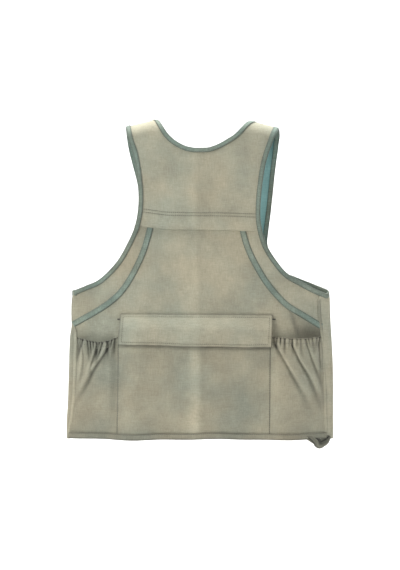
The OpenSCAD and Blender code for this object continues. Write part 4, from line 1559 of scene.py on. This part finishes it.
class VEST_OT_snaps(bpy.types.Operator):
    """Snap caps and studs of the front pockets"""

    bl_idname = "vest.snaps"
    bl_label = "Snaps"

    def execute(self, context):
        for _, name in SIDES:
            studs = []
            for kind in ("chest", "cargo"):
                low, high = node_box(f"{kind}_cap_{name}")
                middle = (low + high) / 2
                r, h = (high[0] - low[0]) / 2, high[1] - low[1]
                base = (middle[0], low[1], middle[2])
                cap = [(0, 0), (r * 0.92, 0), (r, 0.25 * h), (r * 0.98, 0.55 * h),
                       (r * 0.86, 0.8 * h), (r * 0.74, 0.82 * h), (r * 0.70, 0.7 * h),
                       (r * 0.62, 0.72 * h), (r * 0.45, 0.93 * h), (r * 0.2, h), (0, h)]
                piece = mesh_object(f"{kind}_snap_cap_{name}",
                                    *joined([(turned(base, cap), 0.0)]), MATERIALS["snap"])
                attach(piece, f"{kind}_flap_{name}", f"{kind}_cap_{name}")
                studs.append((middle[0], kind, middle[2]))
            patches = []
            for x, kind, z in studs:
                face_y = node_box(f"{kind}_pocket_{name}")[1][1]
                stud = [(0, 0), (3.4, 0), (3.4, 0.5), (2.2, 0.6), (1.9, 0.9), (2.2, 1.3),
                        (1.8, 1.45), (0, 1.5)]
                patches.append((turned((x, face_y, z), stud, 28), 0.0))
            piece = mesh_object(f"snap_stud_metal_{name}", *joined(patches), MATERIALS["snap"])
            attach(piece, f"front_{name}", f"snap_studs_{name}")
        return {"FINISHED"}


# ---------------------------------------------------------------- zip

TOOTH_PITCH = 2.8


class VEST_OT_zip(bpy.types.Operator):
    """Zip tapes, teeth, slider, pull and end pieces"""

    bl_idname = "vest.zip"
    bl_label = "Zip"

    def execute(self, context):
        for side, name in SIDES:
            self.tape(side, name)
            self.teeth(side, name)
        for node, material in (("zip_slider", "metal"), ("zip_pull", "metal"),
                               ("zip_box", "metal"), ("zip_pin", "metal")):
            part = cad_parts[node]
            part.data.materials.clear()
            part.data.materials.append(MATERIALS[material])
            rim = part.modifiers.new("rim", "BEVEL")
            rim.width = 0.35 * MM
            rim.segments = 2
            rim.limit_method = "ANGLE"
        return {"FINISHED"}

    def tape(self, side, name):
        """Woven tape with a raised cord at its toothed edge and fine lengthwise ribs."""
        low, high = node_box(f"zip_tape_{name}")
        x0, x1 = sorted((abs(low[0]), abs(high[0])))
        z = np.linspace(low[2], high[2], 130)[:, None]
        x = np.linspace(x0, x1, 48)[None, :]
        cord = 0.12 * hill((x - x0 - 0.6) / 0.7)
        rib = 0.05 * np.cos(2 * np.pi * (x - x0) / 1.4)
        y = (low[1] + high[1]) / 2 + cord + rib + 0 * z
        points = np.stack([side * x + 0 * z, y, z + 0 * x], -1)
        piece = sheet_piece(f"zip_tape_cloth_{name}", [(points, 0.0)], MATERIALS["zip_tape"],
                            "zip_tape", thickness=0.4)
        attach(piece, f"front_{name}", f"zip_tape_{name}")

    def teeth(self, side, name):
        """Row of teeth clamped on the cord: each is a rounded block that narrows to a
        nub, with a hollow above it."""
        low, high = node_box(f"zip_teeth_{name}")
        shift = 0 if side == LEFT else TOOTH_PITCH / 2
        starts = np.arange(low[2] + 0.4 + shift, high[2] - 1.5, TOOTH_PITCH)
        middle_y = (low[1] + high[1]) / 2
        x_in = min(abs(low[0]), abs(high[0]))
        # Rings from the cord to the nub: distance, half height along the row, half depth
        rings = np.array([[2.7, 0.42, 0.75], [2.4, 0.62, 1.25], [1.2, 0.66, 1.35],
                          [0.7, 0.55, 0.95], [0.15, 0.34, 0.70], [0.0, 0.2, 0.45]])
        corners = np.array([[-1, -0.55], [-0.6, -1], [0.6, -1], [1, -0.55], [1, 0.55],
                            [0.6, 1], [-0.6, 1], [-1, 0.55]])
        one = np.stack([
            np.repeat(side * (x_in + rings[:, 0]), 8).reshape(6, 8),
            middle_y + rings[:, 2:] * corners[:, 1][None, :],
            rings[:, 1:2] * corners[:, 0][None, :]], -1)
        ring = np.arange(8)
        faces = [np.stack([ring + 8 * i, np.roll(ring, -1) + 8 * i,
                           np.roll(ring, -1) + 8 * i + 8, ring + 8 * i + 8], 1)
                 for i in range(5)]
        ends = np.array([[0, 1, 2, 3], [0, 3, 4, 7], [4, 5, 6, 7], [40, 43, 42, 41],
                         [40, 47, 44, 43], [44, 47, 46, 45]])
        faces = np.vstack([*faces, ends])
        count = len(starts)
        points = np.tile(one.reshape(-1, 3), (count, 1))
        points[:, 2] += np.repeat(starts + 0.7, 48)
        all_faces = (faces[None] + 48 * np.arange(count)[:, None, None]).reshape(-1, 4)
        piece = mesh_object(f"zip_teeth_metal_{name}", points, all_faces,
                            np.zeros(len(points)), MATERIALS["metal"], weld=0.001)
        attach(piece, f"front_{name}", f"zip_teeth_{name}")


class VEST_OT_hang_loop(bpy.types.Operator):
    """Loop of tape inside the neck"""

    bl_idname = "vest.hang_loop"
    bl_label = "Hang loop"

    def execute(self, context):
        low, high = node_box("hang_loop")
        half_tape = 3.0
        w = np.linspace(-1, 1, 7)[None, :]
        right = high[0] - half_tape
        foot = low[2] + half_tape
        line = curve([(-right, high[2]), (-right, foot + 9), (-right + 8, foot + 1), (0, foot),
                      (right - 8, foot + 1), (right, foot + 9), (right, high[2])], 1.5)
        across = normals(line)[:, None, :] * (half_tape * w)[..., None]
        flat = line[:, None, :] + across
        y = (low[1] + high[1]) / 2 + 0.5 * (1 - w**4) + 0 * flat[..., 0]
        points = np.stack([flat[..., 0], y, flat[..., 1]], -1)
        piece = sheet_piece("hang_loop_tape", [(points, 0.0)], MATERIALS["tape"],
                            "binding_tape", thickness=0.8)
        attach(piece, "vest_body", "hang_loop")
        return {"FINISHED"}


# ---------------------------------------------------------------- stage


def area_light(name, place_at, aim_at, size, power, colour=(1, 1, 1)):
    """Square soft light at a place, turned to a point. Metres and watts."""
    data = bpy.data.lights.new(name, "AREA")
    data.size = size
    data.energy = power
    data.color = colour
    lamp = bpy.data.objects.new(name, data)
    lamp.location = place_at
    lamp.rotation_mode = "QUATERNION"
    lamp.rotation_quaternion = (Vector(aim_at) - Vector(place_at)).to_track_quat("-Z", "Y")
    bpy.context.scene.collection.objects.link(lamp)


# Lens and sensor in millimetres, the rest of the stage in metres
LENS, SENSOR = 100, 36
VIEW_HEIGHT = 1.14
COVE_RADIUS, COVE_START = 1.5, 2.6
FLOOR_Z = -1.25


class VEST_OT_stage(bpy.types.Operator):
    """Camera, lights, pale floor and backdrop"""

    bl_idname = "vest.stage"
    bl_label = "Stage"

    def execute(self, context):
        scene = context.scene
        middle = Vector((0.0, 0.0, -0.332))
        data = bpy.data.cameras.new("camera")
        data.lens = LENS
        data.sensor_width = SENSOR
        camera = bpy.data.objects.new("camera", data)
        distance = VIEW_HEIGHT * LENS / SENSOR + HALF_DEPTH * MM
        camera.location = middle + Vector((0, -distance, 0))
        camera.rotation_mode = "QUATERNION"
        camera.rotation_quaternion = Vector((0, 1, 0)).to_track_quat("-Z", "Y")
        scene.collection.objects.link(camera)
        scene.camera = camera
        paper = bpy.data.materials.new("pale_paper")
        tree, add = node_maker(paper)
        shader = tree.nodes["Principled BSDF"]
        spot = add("ShaderNodeTexCoord").outputs["Object"]
        tone = mixed(add, noise(add, spot, 3.0), (0.93, 0.93, 0.93, 1), (0.96, 0.96, 0.96, 1))
        tree.links.new(tone, shader.inputs["Base Color"])
        shader.inputs["Roughness"].default_value = 0.9
        # Floor that curves up into the backdrop: a quarter circle joins the two
        radius, reach_back = COVE_RADIUS, COVE_START
        angle = np.linspace(0, np.pi / 2, 25)
        y = np.concatenate([[-6], reach_back + radius * np.sin(angle), [reach_back + radius]])
        z = np.concatenate([[0], radius - radius * np.cos(angle), [6]]) + FLOOR_Z
        x = np.array([-6.0, 6.0])
        points = np.stack(np.broadcast_arrays(x[None], y[:, None], z[:, None]), -1)
        mesh = bpy.data.meshes.new("floor")
        mesh.from_pydata(points.reshape(-1, 3).tolist(), [], grid_faces(27, 2).tolist())
        mesh.shade_smooth()
        mesh.materials.append(paper)
        plane = bpy.data.objects.new("floor", mesh)
        scene.collection.objects.link(plane)
        world = bpy.data.worlds.new("studio")
        world.use_nodes = True
        sky = world.node_tree.nodes["Background"]
        sky.inputs["Color"].default_value = (1.0, 1.0, 1.0, 1)
        sky.inputs["Strength"].default_value = 0.34
        scene.world = world
        scene.view_settings.view_transform = "Standard"
        area_light("key", (-2.5, -2.1, 0.35), middle, 1.0, 45, (1.0, 0.99, 0.96))
        area_light("fill", (1.6, -3.0, 0.6), middle, 1.6, 8)
        area_light("backdrop", (0, 0.6, 2.2), (0, 4.0, -0.6), 3.0, 230)
        area_light("front_key", (1.6, 2.2, 1.2), middle, 1.0, 9, (1.0, 0.99, 0.97))
        return {"FINISHED"}


# ---------------------------------------------------------------- panel and registration

OPERATORS = (
    VEST_OT_stage, VEST_OT_materials, VEST_OT_back, VEST_OT_yoke, VEST_OT_underarms,
    VEST_OT_bindings, VEST_OT_linings, VEST_OT_sides, VEST_OT_pouch, VEST_OT_side_pockets,
    VEST_OT_fronts, VEST_OT_front_pockets, VEST_OT_snaps, VEST_OT_zip, VEST_OT_hang_loop,
)


class VEST_PT_panel(bpy.types.Panel):
    """Settings and builders of the vest"""

    bl_idname = "VEST_PT_panel"
    bl_label = "Fishing Vest"
    bl_space_type = "VIEW_3D"
    bl_region_type = "UI"
    bl_category = "Vest"

    def draw(self, context):
        for group in (context.scene.vest_sizes, context.scene.vest_colours):
            for name in group.bl_rna.properties.keys():
                if name not in ("rna_type", "name"):
                    self.layout.prop(group, name)
        for operator in OPERATORS:
            self.layout.operator(operator.bl_idname)


CLASSES = (VestSizes, VestColours, *OPERATORS, VEST_PT_panel)


def register():
    for cls in CLASSES:
        bpy.utils.register_class(cls)
    bpy.types.Scene.vest_sizes = bpy.props.PointerProperty(type=VestSizes)
    bpy.types.Scene.vest_colours = bpy.props.PointerProperty(type=VestColours)


def unregister():
    del bpy.types.Scene.vest_sizes
    del bpy.types.Scene.vest_colours
    for cls in reversed(CLASSES):
        bpy.utils.unregister_class(cls)


def main():
    register()
    for operator in OPERATORS:
        group, name = operator.bl_idname.split(".")
        getattr(getattr(bpy.ops, group), name)()


if __name__ == "__main__":
    main()
